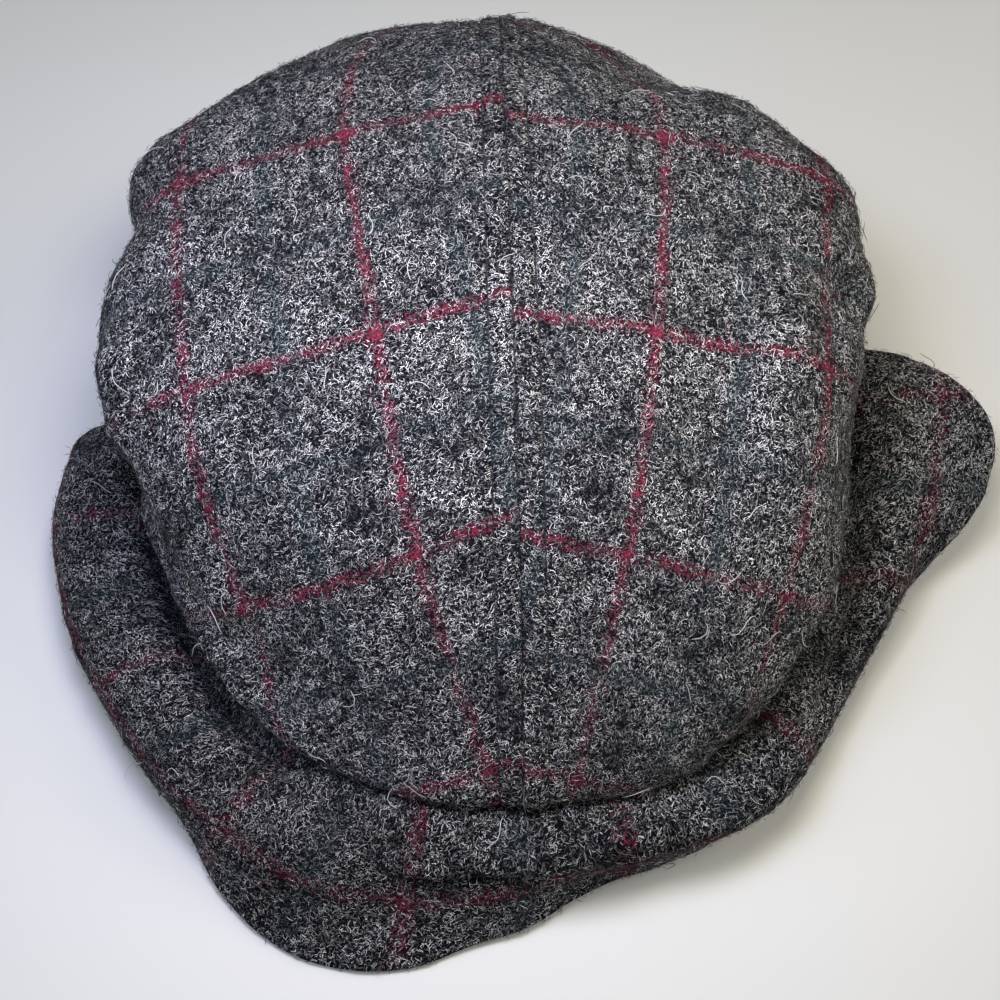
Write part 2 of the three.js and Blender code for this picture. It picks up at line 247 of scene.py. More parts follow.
# Where the flap dips beside the crown: angle round the rim, depth, distance from the rim, reach
FLAP_DIP_AT = (-100, -85, -70, -50, -36, -24, 44, 58, 84, 112)
FLAP_DIP = (7.0, 8.0, 9.0, 9.0, 7.0, -1.5, -1.5, 7.0, 9.0, 9.0)
FLAP_DIP_FROM_RIM = (20.0, 17.0, 10.0, 7.5, 7.0, 7.0, 18.0, 20.0, 21.0, 21.0)
FLAP_DIP_REACH = (9.0, 8.0, 6.0, 5.5, 5.5, 5.5, 9.0, 9.0, 9.0, 9.0)
# The crease of the flap at the back: angle round the rim, distance from the free edge, strength
CREASE_AT = (-13, -7, -3, 0, 4, 6, 10, 16, 20, 24, 30, 37)
CREASE_FROM_EDGE = (29.0, 26.0, 24.0, 22.5, 20.2, 19.0, 18.6, 20.4, 20.0, 18.8, 17.0, 16.0)
CREASE_STRENGTH = (0.0, 0.9, 1.0, 1.0, 1.0, 1.0, 0.8, 0.8, 0.8, 0.8, 0.5, 0.0)
# Its section: depth and reach of the groove, rise, place and reach of the roll, depth and reach of the fall
CREASE_DEPTH, CREASE_REACH = 3.5, 1.1
ROLL_RISE, ROLL_AT, ROLL_REACH = 2.0, 4.0, 3.0
FALL_DEPTH, FALL_REACH = 2.0, 7.0

# Looks of the wool: brightness, strength and spread of the red lines, how much the red lines fade
CROWN_LOOK = (1.0, 1.0, 1.0, 0.75)
# The flap's and peak's wool is drawn darker than the crown's, at 0.67 of its brightness: painted shade
FLAP_LOOK = (0.67, 0.6, 1.35, 0.0)
# Waves on a millimetre of pale patches, broad clouds, the wander and wear of the check's lines, and the nap
PATCH_WAVES, CLOUD_WAVES, WANDER_WAVES, WEAR_WAVES, NAP_WAVES = 0.24, 0.045, 0.22, 0.075, 1.3
PATCH_LIMITS, WEAR_LIMITS = (0.3, 0.7), (0.35, 0.62)
# Where the red lines are drawn weaker, in millimetres on the cloth, and by how much; the fade towards the
# front is painted shade, standing in for the grazing light and fuzz that dim the red there
OUTER_COLUMNS, OUTER_LOSS = (24.0, 44.0), 0.25
BEYOND_COLUMNS = (57.0, 69.0)
TO_FRONT, FRONT_LOSS, FRONT_HAIR_LOSS = (72.0, 105.0), 0.5, 0.4
TO_BACK, BACK_LOSS = (66.0, 84.0), 0.6
# Strength of the red lines: least, with pale patches, with wear; share of fibres and of loose hairs dyed
RED_LEAST, RED_PATCHY, RED_WORN = 0.08, 0.45, 0.60
RED_FIBRE_SHARE, RED_HAIR_SHARE = 0.64, 0.45
RED_SOFTNESS = 0.45
# Strength of the teal lines, least, with clouds and on the fibres, and their breadth in red ones
TEAL_LEAST, TEAL_CLOUDY, TEAL_FIBRES, TEAL_BREADTH = 0.16, 0.5, 0.85, 1.6
# The ground under the fibres: parts of the teal, of the red and how much of the red shows
GROUND_TEAL, GROUND_RED, GROUND_RED_SHOWS = 0.6, 0.35, 0.5
# How far the painted groove shade darkens the wool
GROOVE_SHADE_DARK = 0.95
NAP_STRENGTH, NAP_HEIGHT = 0.7, 0.5
# Layers of fibres in the cloth, lowest first: cells on a millimetre, half width, half length, shift
FIBRE_LAYERS = (
    (1.75, 0.084, 0.50, 0.0),
    (1.48, 0.084, 0.62, 17.3),
    (1.24, 0.082, 0.78, 41.9),
    (1.04, 0.080, 0.95, 73.1),
    (0.88, 0.074, 1.20, 58.7),
)
# Soft border of a fibre in shares of its width and length, its bend, and how rare the light ones are
FIBRE_SIDE, FIBRE_END, FIBRE_BEND, FIBRE_RARITY = 0.65, 0.8, 0.8, 6.0
# Lightness of the fibres, least and with clouds, and how much paler the flap's right end is
LIGHT_LEAST, LIGHT_CLOUDY = 0.08, 0.87
RIGHT_EAR, EAR_PALER = (150.0, 185.0), 0.6
# Darkest and lightest red fibre, in parts of the stripe's colour, and what mixes its chance from two others
RED_FIBRES = (0.2, 2.5)
RED_MIXING = (7.0, 3.0)

# Loose hairs: the tone that each kind starts from, and its colour
HAIR_TONES = (
    ("grey hair", -1.0, (0.02, 0.02, 0.022)),
    ("pale hair", 0.55, (0.11, 0.109, 0.115)),
    ("white hair", 0.82, (0.70, 0.695, 0.70)),
    ("red hair", 1.5, (0.14, 0.014, 0.030)),
)
RED_TONE = 2.0
# Shapes of the hairs, in hair lengths: how many, points, curl, lift, radius, number added to the seed
SHORT_SHAPES = (14, 3, 0.7, 0.24, 0.028, 31)
LONG_SHAPES = (14, 7, 1.3, 0.085, 0.011, 32)
HAIR_ROOT = 0.03
HAIR_SIDES = 3
# Ranges of a hair's bend, waves, phase, lift, arch and size
BENDS, WAVES, PHASES = (0.4, 1.0), (0.35, 0.9), (0, 6.3)
LIFTS, ARCHES, HAIR_SIZES = (0.3, 1.0), (0.45, 0.95), (0.5, 1.5)
# Paleness of the hairs, least and in pale patches
HAIR_PALE, HAIR_PATCHY = 0.72, 0.38
# Tilt of the hairs on the cloth, and the darkest tone that is kept
SHORT_TILT, SHORT_LEAST = 0.3, -1.0
LONG_TILT, LONG_LEAST = 0.08, 0.55
# Cloths that carry hairs: name, cloth, slot, share of the short and of the long hairs
HAIRY_CLOTHS = (
    ("crown_left", "crown_left_panel", "crown_wool", 1.0, 1.7),
    ("crown_right", "crown_right_panel", "crown_wool", 1.0, 1.7),
    ("ear_flap", "ear_flap_cloth", "flap_wool", 0.9, 1.0),
    ("peak", "peak_cloth", "flap_wool", 0.6, 1.0),
)
# Numbers added to the seed of each cloth's hairs, and the seeds of what varies from hair to hair
HAIR_SEED = 40
TONE_SEED, RED_SEED, SWING_SEED, SIZE_SEED, SHAPE_SEED = 11, 12, 13, 14, 15
SHAPE_PICKS = 1000
HAIR_ABOVE_FLOOR = 0.3

# Stitches: length in pitches, thickness in millimetres, points of the line left bare at each end
STITCH_LENGTH, STITCH_THICKNESS, STITCHES_FROM_END = 0.78, 0.7, 4
THREAD_WAVES, THREAD_WORN = 900.0, 3

# Stage, in metres: lights as name, place, target, size, power and tint
FLOOR_HALF = 4.0
FLOOR_WAVES, FLOOR_MARKED, FLOOR_MARKS = 9.0, 0.05, 0.9
SKY, SKY_STRENGTH = (0.95, 0.97, 1.0), 0.26
LIGHTS = (
    ("overhead left", (-0.058, -0.035, 0.285), (-0.058, -0.03, 0.08), 0.10, 0.53, (0.63, 0.66, 1.0)),
    ("overhead right", (0.010, -0.037, 0.285), (0.010, -0.03, 0.08), 0.10, 0.41, (1.0, 0.94, 0.74)),
    ("cool side", (-0.9, -0.1, 0.7), (0.0, 0.0, 0.05), 0.7, 3.0, (0.76, 0.86, 1.0)),
    ("warm side", (0.9, 0.1, 0.65), (0.0, 0.0, 0.05), 0.7, 5.0, (1.0, 0.93, 0.76)),
)
CAMERA_AT, CAMERA_TILT = (-0.007636, -0.183052, 0.326), math.radians(28.0)
SENSOR, LENS = 36.0, 39.6
NEAREST, FURTHEST = 0.01, 20.0

CLOTH_MAP = "cloth"
OUTER_FACE = "outer_face"
PAINTED_SHADE = "groove_shade"
HAIR_TONE = "hair_tone"
ROOT = "root"


def length_property(name, description, default, least, most):
    return FloatProperty(
        name=name, description=description, default=default, min=least, max=most, unit="LENGTH"
    )


def density_property(name, description, default, most):
    return FloatProperty(name=name, description=description, default=default, min=0.0, max=most)


def colour_property(name, description, default):
    return FloatVectorProperty(
        name=name, description=description, default=default, size=3, subtype="COLOR", min=0.0, max=1.0
    )


class CapSettings(bpy.types.PropertyGroup):
    """Sizes and colours of the cap that a user would change"""

    check_along: length_property(
        "Check along", "From one cross line of the check to the next", 0.064, 0.02, 0.2
    )
    check_across: length_property(
        "Check across", "From one lengthwise line of the check to the next", 0.053, 0.02, 0.2
    )
    stripe_width: length_property("Stripe width", "Width of a red line of the check", 0.0034, 0.001, 0.02)
    stitch_from_seam: length_property(
        "Stitches from seam", "Distance of a stitch row from the crown's seam", 0.0064, 0.002, 0.015
    )
    stitch_pitch: length_property("Stitch pitch", "From one stitch to the next", 0.0032, 0.001, 0.01)
    short_hairs: density_property("Short hairs", "Short hairs on a square millimetre of cloth", 0.58, 1.0)
    long_hairs: density_property(
        "Long hairs", "Long hairs on a square millimetre of cloth, dark ones that stay hidden too", 0.012, 0.1
    )
    short_hair_length: length_property(
        "Short hair length", "Usual length of a short hair", 0.0023, 0.0005, 0.01
    )
    long_hair_length: length_property("Long hair length", "Usual length of a long hair", 0.0075, 0.001, 0.03)
    seed: IntProperty(name="Seed", description="Start of everything random", default=7, min=0)
    wool_dark: colour_property("Dark wool", "Darkest fibres of the cloth", (0.0032, 0.0032, 0.0058))
    wool_light: colour_property("Light wool", "Lightest fibres of the cloth", (0.97, 0.965, 0.97))
    stripe_red: colour_property("Red stripe", "Red lines of the check", (0.145, 0.021, 0.042))
    overcheck_teal: colour_property(
        "Teal overcheck", "Dark lines midway between the red ones", (0.008, 0.022, 0.028)
    )
    thread: colour_property("Thread", "Topstitching", (0.003, 0.003, 0.004))
    floor: colour_property("Floor", "Pale floor under the cap", (0.72, 0.72, 0.70))


class Value:
    """A number in a node tree: maths on it adds Math nodes."""

    def __init__(self, tree, socket):
        self.tree = tree
        self.socket = socket

    def maths(self, operation, first, second=0.0):
        made = self.tree.node("ShaderNodeMath", {"operation": operation}, {0: first, 1: second})
        return Value(self.tree, made.outputs[0])

    def __add__(self, other):
        return self.maths("ADD", self, other)

    def __radd__(self, other):
        return self.maths("ADD", other, self)

    def __sub__(self, other):
        return self.maths("SUBTRACT", self, other)

    def __rsub__(self, other):
        return self.maths("SUBTRACT", other, self)

    def __mul__(self, other):
        return self.maths("MULTIPLY", self, other)

    def __rmul__(self, other):
        return self.maths("MULTIPLY", other, self)

    def __truediv__(self, other):
        return self.maths("DIVIDE", self, other)

    def __pow__(self, power):
        return self.maths("POWER", self, power)

    def __abs__(self):
        return self.maths("ABSOLUTE", self)

    def fraction(self):
        return self.maths("FRACT", self)

    def larger(self, other):
        return self.maths("MAXIMUM", self, other)

    def above(self, limit):
        return self.maths("GREATER_THAN", self, limit)

    def between(self, low, high):
        """0 below low, 1 above high and a smooth step from one to the other."""
        made = self.tree.node(
            "ShaderNodeMapRange", {"interpolation_type": "SMOOTHSTEP"},
            {"Value": self, "From Min": low, "From Max": high},
        )
        return Value(self.tree, made.outputs[0])


class Tree:
    """A node tree whose nodes are made by one method."""

    def __init__(self, tree):
        self.tree = tree

    def node(self, kind, settings=None, inputs=None):
        made = self.tree.nodes.new(kind)
        for name, value in (settings or {}).items():
            setattr(made, name, value)
        for name, value in (inputs or {}).items():
            self.feed(made.inputs[name], value)
        return made

    def feed(self, socket, value):
        if isinstance(value, Value):
            self.tree.links.new(value.socket, socket)
        elif isinstance(value, bpy.types.NodeSocket):
            self.tree.links.new(value, socket)
        else:
            socket.default_value = value

    def value(self, socket):
        return Value(self, socket)

    def noise(self, place, scale, detail=2.0, roughness=0.5):
        made = self.node(
            "ShaderNodeTexNoise", {"noise_dimensions": "3D"},
            {"Vector": place, "Scale": scale, "Detail": detail, "Roughness": roughness},
        )
        return self.value(made.outputs["Fac"])

    def mix(self, share, first, second):
        made = self.node("ShaderNodeMix", {"data_type": "RGBA"}, {0: share, 6: first, 7: second})
        return made.outputs[2]

    def vector(self, operation, first, second):
        made = self.node("ShaderNodeVectorMath", {"operation": operation}, {0: first, 1: second})
        return made.outputs[0]

    def join(self, x, y, z):
        return self.node("ShaderNodeCombineXYZ", None, {0: x, 1: y, 2: z}).outputs[0]

    def line(self, position, repeat, width, soft=0.35):
        """1 on the lines that lie at every whole repeat, 0 between them."""
        turn = (position / repeat + 0.5).fraction() - 0.5
        away = abs(turn) * repeat
        return 1.0 - away.between(width * (0.5 - soft), width * (0.5 + soft))


class Material(Tree):
    """A material with one Principled shader."""

    def __init__(self, name, **sockets):
        self.material = bpy.data.materials.new(name)
        self.material.use_nodes = True
        super().__init__(self.material.node_tree)
        self.tree.nodes.clear()
        self.shader = self.node("ShaderNodeBsdfPrincipled", None, sockets)
        self.node("ShaderNodeOutputMaterial", None, {"Surface": self.shader.outputs[0]})

    def set(self, **values):
        for name, value in values.items():
            self.feed(self.shader.inputs[name.replace("_", " ")], value)


def colour(values):
    return (*values, 1.0)


def read_table(columns, rows, at):
    """Every column at the places given, on a smooth curve through the rows."""
    table = np.array(rows, float)
    place = table[:, 0]
    slope = np.empty_like(table)
    slope[1:-1] = (table[2:] - table[:-2]) / (place[2:] - place[:-2])[:, None]
    slope[0] = (table[1] - table[0]) / (place[1] - place[0])
    slope[-1] = (table[-1] - table[-2]) / (place[-1] - place[-2])
    k = np.clip(np.searchsorted(place, at) - 1, 0, len(place) - 2)
    span = (place[k + 1] - place[k])[..., None]
    t = (at - place[k])[..., None] / span
    rise = table[k + 1] - table[k]
    leaving = slope[k] * span - rise
    arriving = rise - slope[k + 1] * span
    values = table[k] + t * rise + t * (1 - t) * ((1 - t) * leaving + t * arriving)
    return dict(zip(columns, np.moveaxis(values, -1, 0)))


def oval(angle, squareness):
    """Sine and cosine with the corners of the oval filled out."""
    power = 2 / squareness
    sine, cosine = np.sin(angle), np.cos(angle)
    return np.sign(sine) * np.abs(sine) ** power, np.sign(cosine) * np.abs(cosine) ** power


def loop_height(angle, height):
    along = np.cos(angle) ** 2
    behind = height["side"] + (height["rear"] - height["side"]) * along
    before = height["side"] + (height["fore"] - height["side"]) * along ** height["hold"]
    return np.where(np.cos(angle) > 0, behind, before)


def rim_point(angle):
    across, back = oval(angle, RIM_SQUARENESS)
    height = loop_height(angle, RIM_HEIGHT)
    return np.stack([RIM_HALF_WIDTH * across, RIM_MIDDLE_Y - RIM_HALF_LENGTH * back, height], -1)


def crown_point(side, along, across):
    """Points of the crown's smooth outer face, over half a square drawn out to half a disc."""
    a = 2 * along - 1
    u = a * np.sqrt(1 - across**2 / 2)
    v = across * np.sqrt(1 - a**2 / 2)
    loop = read_table(CROWN_COLUMNS, CROWN_LOOPS, np.minimum(np.hypot(u, v), 1))
    angle = np.arctan2(v, -u)
    behind = np.cos(angle) > 0
    corner_back = loop["corner_left"] if side == LEFT else loop["corner_right"]
    sideways, back = oval(angle, np.where(behind, corner_back, loop["corner_front"]))
    reach = loop["left"] if side == LEFT else loop["right"]
    end = np.where(behind, loop["widest"] - loop["back"], loop["front"] - loop["widest"])
    y = loop["widest"] - end * back
    drift = math.tan(SEAM_TURN) * (SEAM_PIVOT_Y - y)
    x = side * (SEAM_GAP / 2 + reach * sideways) + drift * (1 - sideways)
    return np.stack([x, y, loop_height(angle, loop)], -1)


def swell(away, reach, power=2):
    """1 at no distance, and softly down to nothing past the reach."""
    return np.exp(-((away / reach) ** power))


def dent_depth(points):
    depth = np.zeros(points.shape[:-1])
    for x, y, z, across, along, deep in CROWN_DENTS:
        sideways = np.hypot(points[..., 0] - x, points[..., 2] - z) / across
        lengthways = (points[..., 1] - y) / along
        depth += deep * np.exp(-(sideways**2) - lengthways**2)
    return depth


def fold_rise(points):
    """Rise of the crown's finer folds, each a soft ridge or groove along a line."""
    rise = np.zeros(points.shape[:-1])
    for reach, high, line in CROWN_FOLDS:
        line = np.array(line, float)
        away = np.full(points.shape[:-1], np.inf)
        for start, end in zip(line[:-1], line[1:]):
            run = end - start
            share = np.clip(((points - start) @ run) / (run @ run), 0, 1)
            away = np.minimum(away, np.linalg.norm(points - start - share[..., None] * run, axis=-1))
        rise += high * swell(away, reach)
    return rise


def corner_share(from_end, corner, depth):
    """Share of the flap's depth that is left near a rounded end."""
    inside = np.clip(corner - from_end, 0, corner)
    return 1 - (corner - np.sqrt(corner**2 - inside**2)) / depth


def flap_sections(at, samples=160):
    """Each section's line from the rim to the free edge: places out and up, and lengths."""
    section = read_table(FLAP_COLUMNS, FLAP_SECTIONS, at)
    rim = rim_point(np.radians(at))
    rise = np.maximum(section["roll_up"] - rim[:, 2], 0) / section["roll_out"]
    sewn = rim[:, 2] - RIM_CLEARANCE - SEAM_ALLOWANCE * rise
    sewn_out = np.full_like(at, -SEAM_ALLOWANCE)
    out = np.stack([sewn_out, section["roll_out"], section["tuck_out"], section["edge_out"]])
    up = np.stack([sewn, section["roll_up"], section["tuck_up"], section["edge_up"]])
    t = np.linspace(0, 1, samples)
    weights = np.stack([(1 - t) ** 3, 3 * t * (1 - t) ** 2, 3 * t**2 * (1 - t), t**3])
    line = np.stack([out.T @ weights, up.T @ weights], -1)
    steps = np.linalg.norm(np.diff(line, axis=1), axis=2)
    length = np.concatenate([np.zeros((len(at), 1)), np.cumsum(steps, axis=1)], axis=1)
    return rim, np.radians(section["fan"]), line, length


def flap_points(at, across):
    """Points of the flap's outer face, and each one's distance from the uncut free edge."""
    rim, fan, line, length = flap_sections(at)
    degree = np.linalg.norm(rim_point(np.radians(at + 1)) - rim, axis=1)
    depth = length[:, -1]
    left = corner_share((at - FLAP_FROM) * degree, FLAP_CORNERS["left"], depth)
    right = corner_share((FLAP_TO - at) * degree, FLAP_CORNERS["right"], depth)
    reach = np.minimum(left, right) * depth
    points = np.empty((len(at), len(across), 3))
    from_edge = np.empty((len(at), len(across)))
    for i in range(len(at)):
        here = across * reach[i]
        out = np.interp(here, length[i], line[i, :, 0])
        points[i, :, 0] = rim[i, 0] + out * np.sin(fan[i])
        points[i, :, 1] = rim[i, 1] - out * np.cos(fan[i])
        points[i, :, 2] = np.interp(here, length[i], line[i, :, 1])
        from_edge[i] = depth[i] - here
    return points, from_edge


def peak_points(along, across):
    turn = (2 * along - 1)[:, None]
    rim = rim_point(math.pi - turn * PEAK_HALF_ANGLE)
    reach = PEAK_END_REACH + (PEAK_REACH - PEAK_END_REACH) * (1 - turn**2) ** PEAK_ROUNDNESS
    out = across[None, :] * (reach + SEAM_ALLOWANCE) - SEAM_ALLOWANCE
    outwards = rim[..., :2] - (0, RIM_MIDDLE_Y)
    outwards = outwards / np.linalg.norm(outwards, axis=-1, keepdims=True)
    fall = PEAK_FALL["middle"] + (PEAK_FALL["end"] - PEAK_FALL["middle"]) * turn**2
    height = rim[..., 2] - RIM_CLEARANCE - fall * np.maximum(out, 0)
    plan = rim[..., :2] + outwards * out[..., None]
    return np.concatenate([plan, height[..., None]], -1)


def steps_with_edges(length, step, edge):
    """Shares of a length at even steps, with closer ones inside the rounded edge at each end."""
    close = np.array(EDGE_STEPS) * edge
    even = np.linspace(EVEN_FROM * edge, length - EVEN_FROM * edge, max(int(length / step), FEWEST_STEPS))
    return np.concatenate([close, even, length - close[::-1]]) / length


def grid_steps(grid, edge):
    """Steps along and across a cloth, as shares of its length and depth."""
    length, length_step, depth, depth_step = grid
    return steps_with_edges(length, length_step, edge), steps_with_edges(depth, depth_step, edge)


def grid_normals(points, turn):
    """Directions square to a grid of points, out of the cloth's outer face."""
    face = np.cross(points[1:, 1:] - points[:-1, :-1], points[:-1, 1:] - points[1:, :-1])
    normal = np.zeros_like(points)
    for rows in (slice(None, -1), slice(1, None)):
        for columns in (slice(None, -1), slice(1, None)):
            normal[rows, columns] += face
    return turn * normal / np.maximum(np.linalg.norm(normal, axis=2, keepdims=True), 1e-12)


def run_lengths(points, axis):
    """Length along a grid from its first row or column."""
    steps = np.linalg.norm(np.diff(points, axis=axis), axis=2)
    pad = [(0, 0), (0, 0)]
    pad[axis] = (1, 0)
    return np.pad(np.cumsum(steps, axis=axis), pad)


def edge_distance(points):
    """How far each point lies from the nearest edge of its cloth, along the grid."""
    down, over = run_lengths(points, 0), run_lengths(points, 1)
    return np.minimum.reduce([down, down[-1:] - down, over, over[:, -1:] - over])


def unevenness(place, wavelength, seed, waves=9):
    """A smooth random rise and fall over the cloth."""
    chance = np.random.default_rng(seed)
    total = np.zeros(place.shape[:-1])
    for _ in range(waves):
        angle, phase = chance.uniform(0, 2 * math.pi, 2)
        length = wavelength * chance.uniform(*WAVELENGTH_RANGE)
        along = place[..., 0] * math.cos(angle) + place[..., 1] * math.sin(angle)
        total += np.sin(2 * math.pi * along / length + phase)
    return total / math.sqrt(waves)


def uneven_rise(place, table, seed):
    """The rises and falls of a table of unevenness, added up."""
    return sum(rise * unevenness(place, wavelength, seed + number) for rise, wavelength, number in table)


def thicken(middle, turn, wall, edge):
    """Outer and inner faces of a cloth with rounded edges, from the points down its middle."""
    normals = grid_normals(middle, turn)
    inset = np.clip(edge_distance(middle) / edge, 0, 1)
    half = wall / 2 * np.sqrt(1 - (1 - inset) ** 2)
    return middle + normals * half[..., None], middle - normals * half[..., None]


def keep_on_floor(*faces):
    """Lifts what would lie below the floor up to it."""
    for face in faces:
        face[..., 2] = np.maximum(face[..., 2], 0)


def quads(number):
    corners = [number[:-1, :-1], number[1:, :-1], number[1:, 1:], number[:-1, 1:]]
    return np.stack(corners, -1).reshape(-1, 4)


def cloth_object(name, outer, inner, flat, turn, groove_shade=0.0, bald=0.0):
    """A closed cloth piece whose two faces share its edge, with its flat places as a UV map.

    Where it carries painted groove shade its fibres are drawn darker, and where it is bald it grows no hairs.
    """
    rows, columns = outer.shape[:2]
    number = np.arange(rows * columns).reshape(rows, columns)
    under = number.copy()
    under[1:-1, 1:-1] = rows * columns + np.arange((rows - 2) * (columns - 2)).reshape(rows - 2, -1)
    points = np.concatenate([outer.reshape(-1, 3), inner[1:-1, 1:-1].reshape(-1, 3)])
    places = np.concatenate([flat.reshape(-1, 2), flat[1:-1, 1:-1].reshape(-1, 2)])
    above, below = quads(number), quads(under)[:, ::-1]
    faces = np.concatenate([above, below])
    if turn < 0:
        faces = faces[:, ::-1]
    mesh = bpy.data.meshes.new(name)
    mesh.from_pydata(((points + TABLES_AT) * MM).tolist(), [], faces.tolist())
    mesh.shade_smooth()
    loops = np.empty(len(mesh.loops), int)
    mesh.loops.foreach_get("vertex_index", loops)
    mesh.uv_layers.new(name=CLOTH_MAP).uv.foreach_set("vector", places[loops].astype(np.float32).ravel())
    outside = mesh.attributes.new(OUTER_FACE, "FLOAT", "FACE")
    hairy = np.zeros(len(faces), np.float32)
    hairy[: len(above)] = (1 - np.broadcast_to(bald, (rows, columns)))[:-1, :-1].ravel()
    outside.data.foreach_set("value", hairy)
    groove_shading = np.zeros(len(points), np.float32)
    groove_shading[: rows * columns] = np.broadcast_to(groove_shade, (rows, columns)).ravel()
    mesh.attributes.new(PAINTED_SHADE, "FLOAT", "POINT").data.foreach_set("value", groove_shading)
    obj = bpy.data.objects.new(name, mesh)
    bpy.context.scene.collection.objects.link(obj)
    return obj


def flatten(points):
    """The flat cut of a curved grid of cloth, in millimetres, by Blender's own unwrapping."""
    rows, columns = points.shape[:2]
    number = np.arange(rows * columns).reshape(rows, columns)
    mesh = bpy.data.meshes.new("cut")
    mesh.from_pydata(points.reshape(-1, 3).tolist(), [], quads(number).tolist())
    mesh.uv_layers.new(name=CLOTH_MAP)
    obj = bpy.data.objects.new("cut", mesh)
    bpy.context.scene.collection.objects.link(obj)
    bpy.context.view_layer.objects.active = obj
    obj.select_set(True)
    bpy.ops.object.mode_set(mode="EDIT")
    bpy.ops.mesh.select_all(action="SELECT")
    bpy.ops.uv.unwrap(method="MINIMUM_STRETCH", iterations=UNWRAPPING, margin=0.0)
    bpy.ops.object.mode_set(mode="OBJECT")
    loops = np.empty(len(mesh.loops), int)
    mesh.loops.foreach_get("vertex_index", loops)
    places = np.empty(len(mesh.loops) * 2, np.float32)
    mesh.uv_layers[0].uv.foreach_get("vector", places)
    flat = np.empty((rows * columns, 2))
    flat[loops] = places.reshape(-1, 2)
    bpy.data.objects.remove(obj)
    bpy.data.meshes.remove(mesh)
    flat = flat.reshape(rows, columns, 2)
    return flat * math.sqrt(grid_area(points) / grid_area(flat))


def grid_area(points):
    """Area of a grid of points, in the plane or in space."""
    a = points[1:, 1:] - points[:-1, :-1]
    b = points[:-1, 1:] - points[1:, :-1]
    dot = (a * b).sum(-1)
    return 0.5 * np.sqrt(np.maximum((a**2).sum(-1) * (b**2).sum(-1) - dot**2, 0)).sum()


def at_places(grid, along, across):
    """Values of an even grid at other shares along and across it."""
    rows, columns = grid.shape[:2]
    i, j = np.clip(along * (rows - 1), 0, rows - 1), np.clip(across * (columns - 1), 0, columns - 1)
    low_i, low_j = np.minimum(i.astype(int), rows - 2), np.minimum(j.astype(int), columns - 2)
    share_i, share_j = (i - low_i)[..., None], (j - low_j)[..., None]
    near = grid[low_i, low_j] * (1 - share_j) + grid[low_i, low_j + 1] * share_j
    far = grid[low_i + 1, low_j] * (1 - share_j) + grid[low_i + 1, low_j + 1] * share_j
    return near * (1 - share_i) + far * share_i


def crown_cut(side, settings):
    """Even grids of the panel's flat cut and of its place in the check, +v to the front."""
    along, across = np.meshgrid(*(np.linspace(0, 1, count) for count in CUT_GRID), indexing="ij")
    points = crown_point(side, along, across)
    flat = flatten(points)
    nearest = [
        np.linalg.norm(points - np.array(place), axis=-1).argmin() for place, _, _ in CHECK_POINTS[side]
    ]
    crossing, further_back = flat.reshape(-1, 2)[nearest[:2]]
    forward = (crossing - further_back) / np.linalg.norm(crossing - further_back)
    turned = np.array(((forward[1], -forward[0]), (forward[0], forward[1])))
    flat = (flat - crossing) @ turned.T
    if side * (flat[:, -1, 0] - flat[:, 0, 0]).mean() < 0:
        flat[..., 0] *= -1
    return flat, flat + cloth_pull(flat, nearest, side, settings)


def cloth_pull(flat, nearest, side, settings):
    """How the cloth is pulled askew, so that the check's lines run through its points."""
    bent = np.tanh(flat / CHECK_PULL_REACH)
    u, v = bent[..., 0], bent[..., 1]
    terms = np.stack([np.ones_like(u), u, v, u * u, u * v, v * v, u * u * v, u * v * v, v * v * v], -1)
    repeats = settings.check_across / MM, settings.check_along / MM
    pull = np.zeros_like(flat)
    for axis, repeat in enumerate(repeats):
        known = [k for k, point in enumerate(CHECK_POINTS[side]) if point[1 + axis] is not None]
        spots = [nearest[k] for k in known]
        here = terms.reshape(-1, terms.shape[-1])[spots]
        lines = np.array([CHECK_POINTS[side][k][1 + axis] for k in known])
        wanted = lines * repeat - flat.reshape(-1, 2)[spots, axis]
        shares = np.linalg.solve(here.T @ here + np.diag(CHECK_PULL_HELD), here.T @ wanted)
        pull[..., axis] = terms @ shares
    return pull


def seam_relief(from_seam, along_seam, settings):
    """Rise of the cloth beside the seam: a welt over the turnings, sunk in at the stitches."""
    row = settings.stitch_from_seam / MM
    welt = WELT_RISE * swell(from_seam - row * WELT_AT, row * WELT_REACH)
    wave = np.cos(2 * math.pi * along_seam * MM / settings.stitch_pitch)
    groove = GROOVE_DEPTH * (1 - GROOVE_WAVE + GROOVE_WAVE * wave) * swell(from_seam - row, GROOVE_REACH)
    return welt - groove - SEAM_DEPTH * swell(from_seam, GROOVE_REACH)


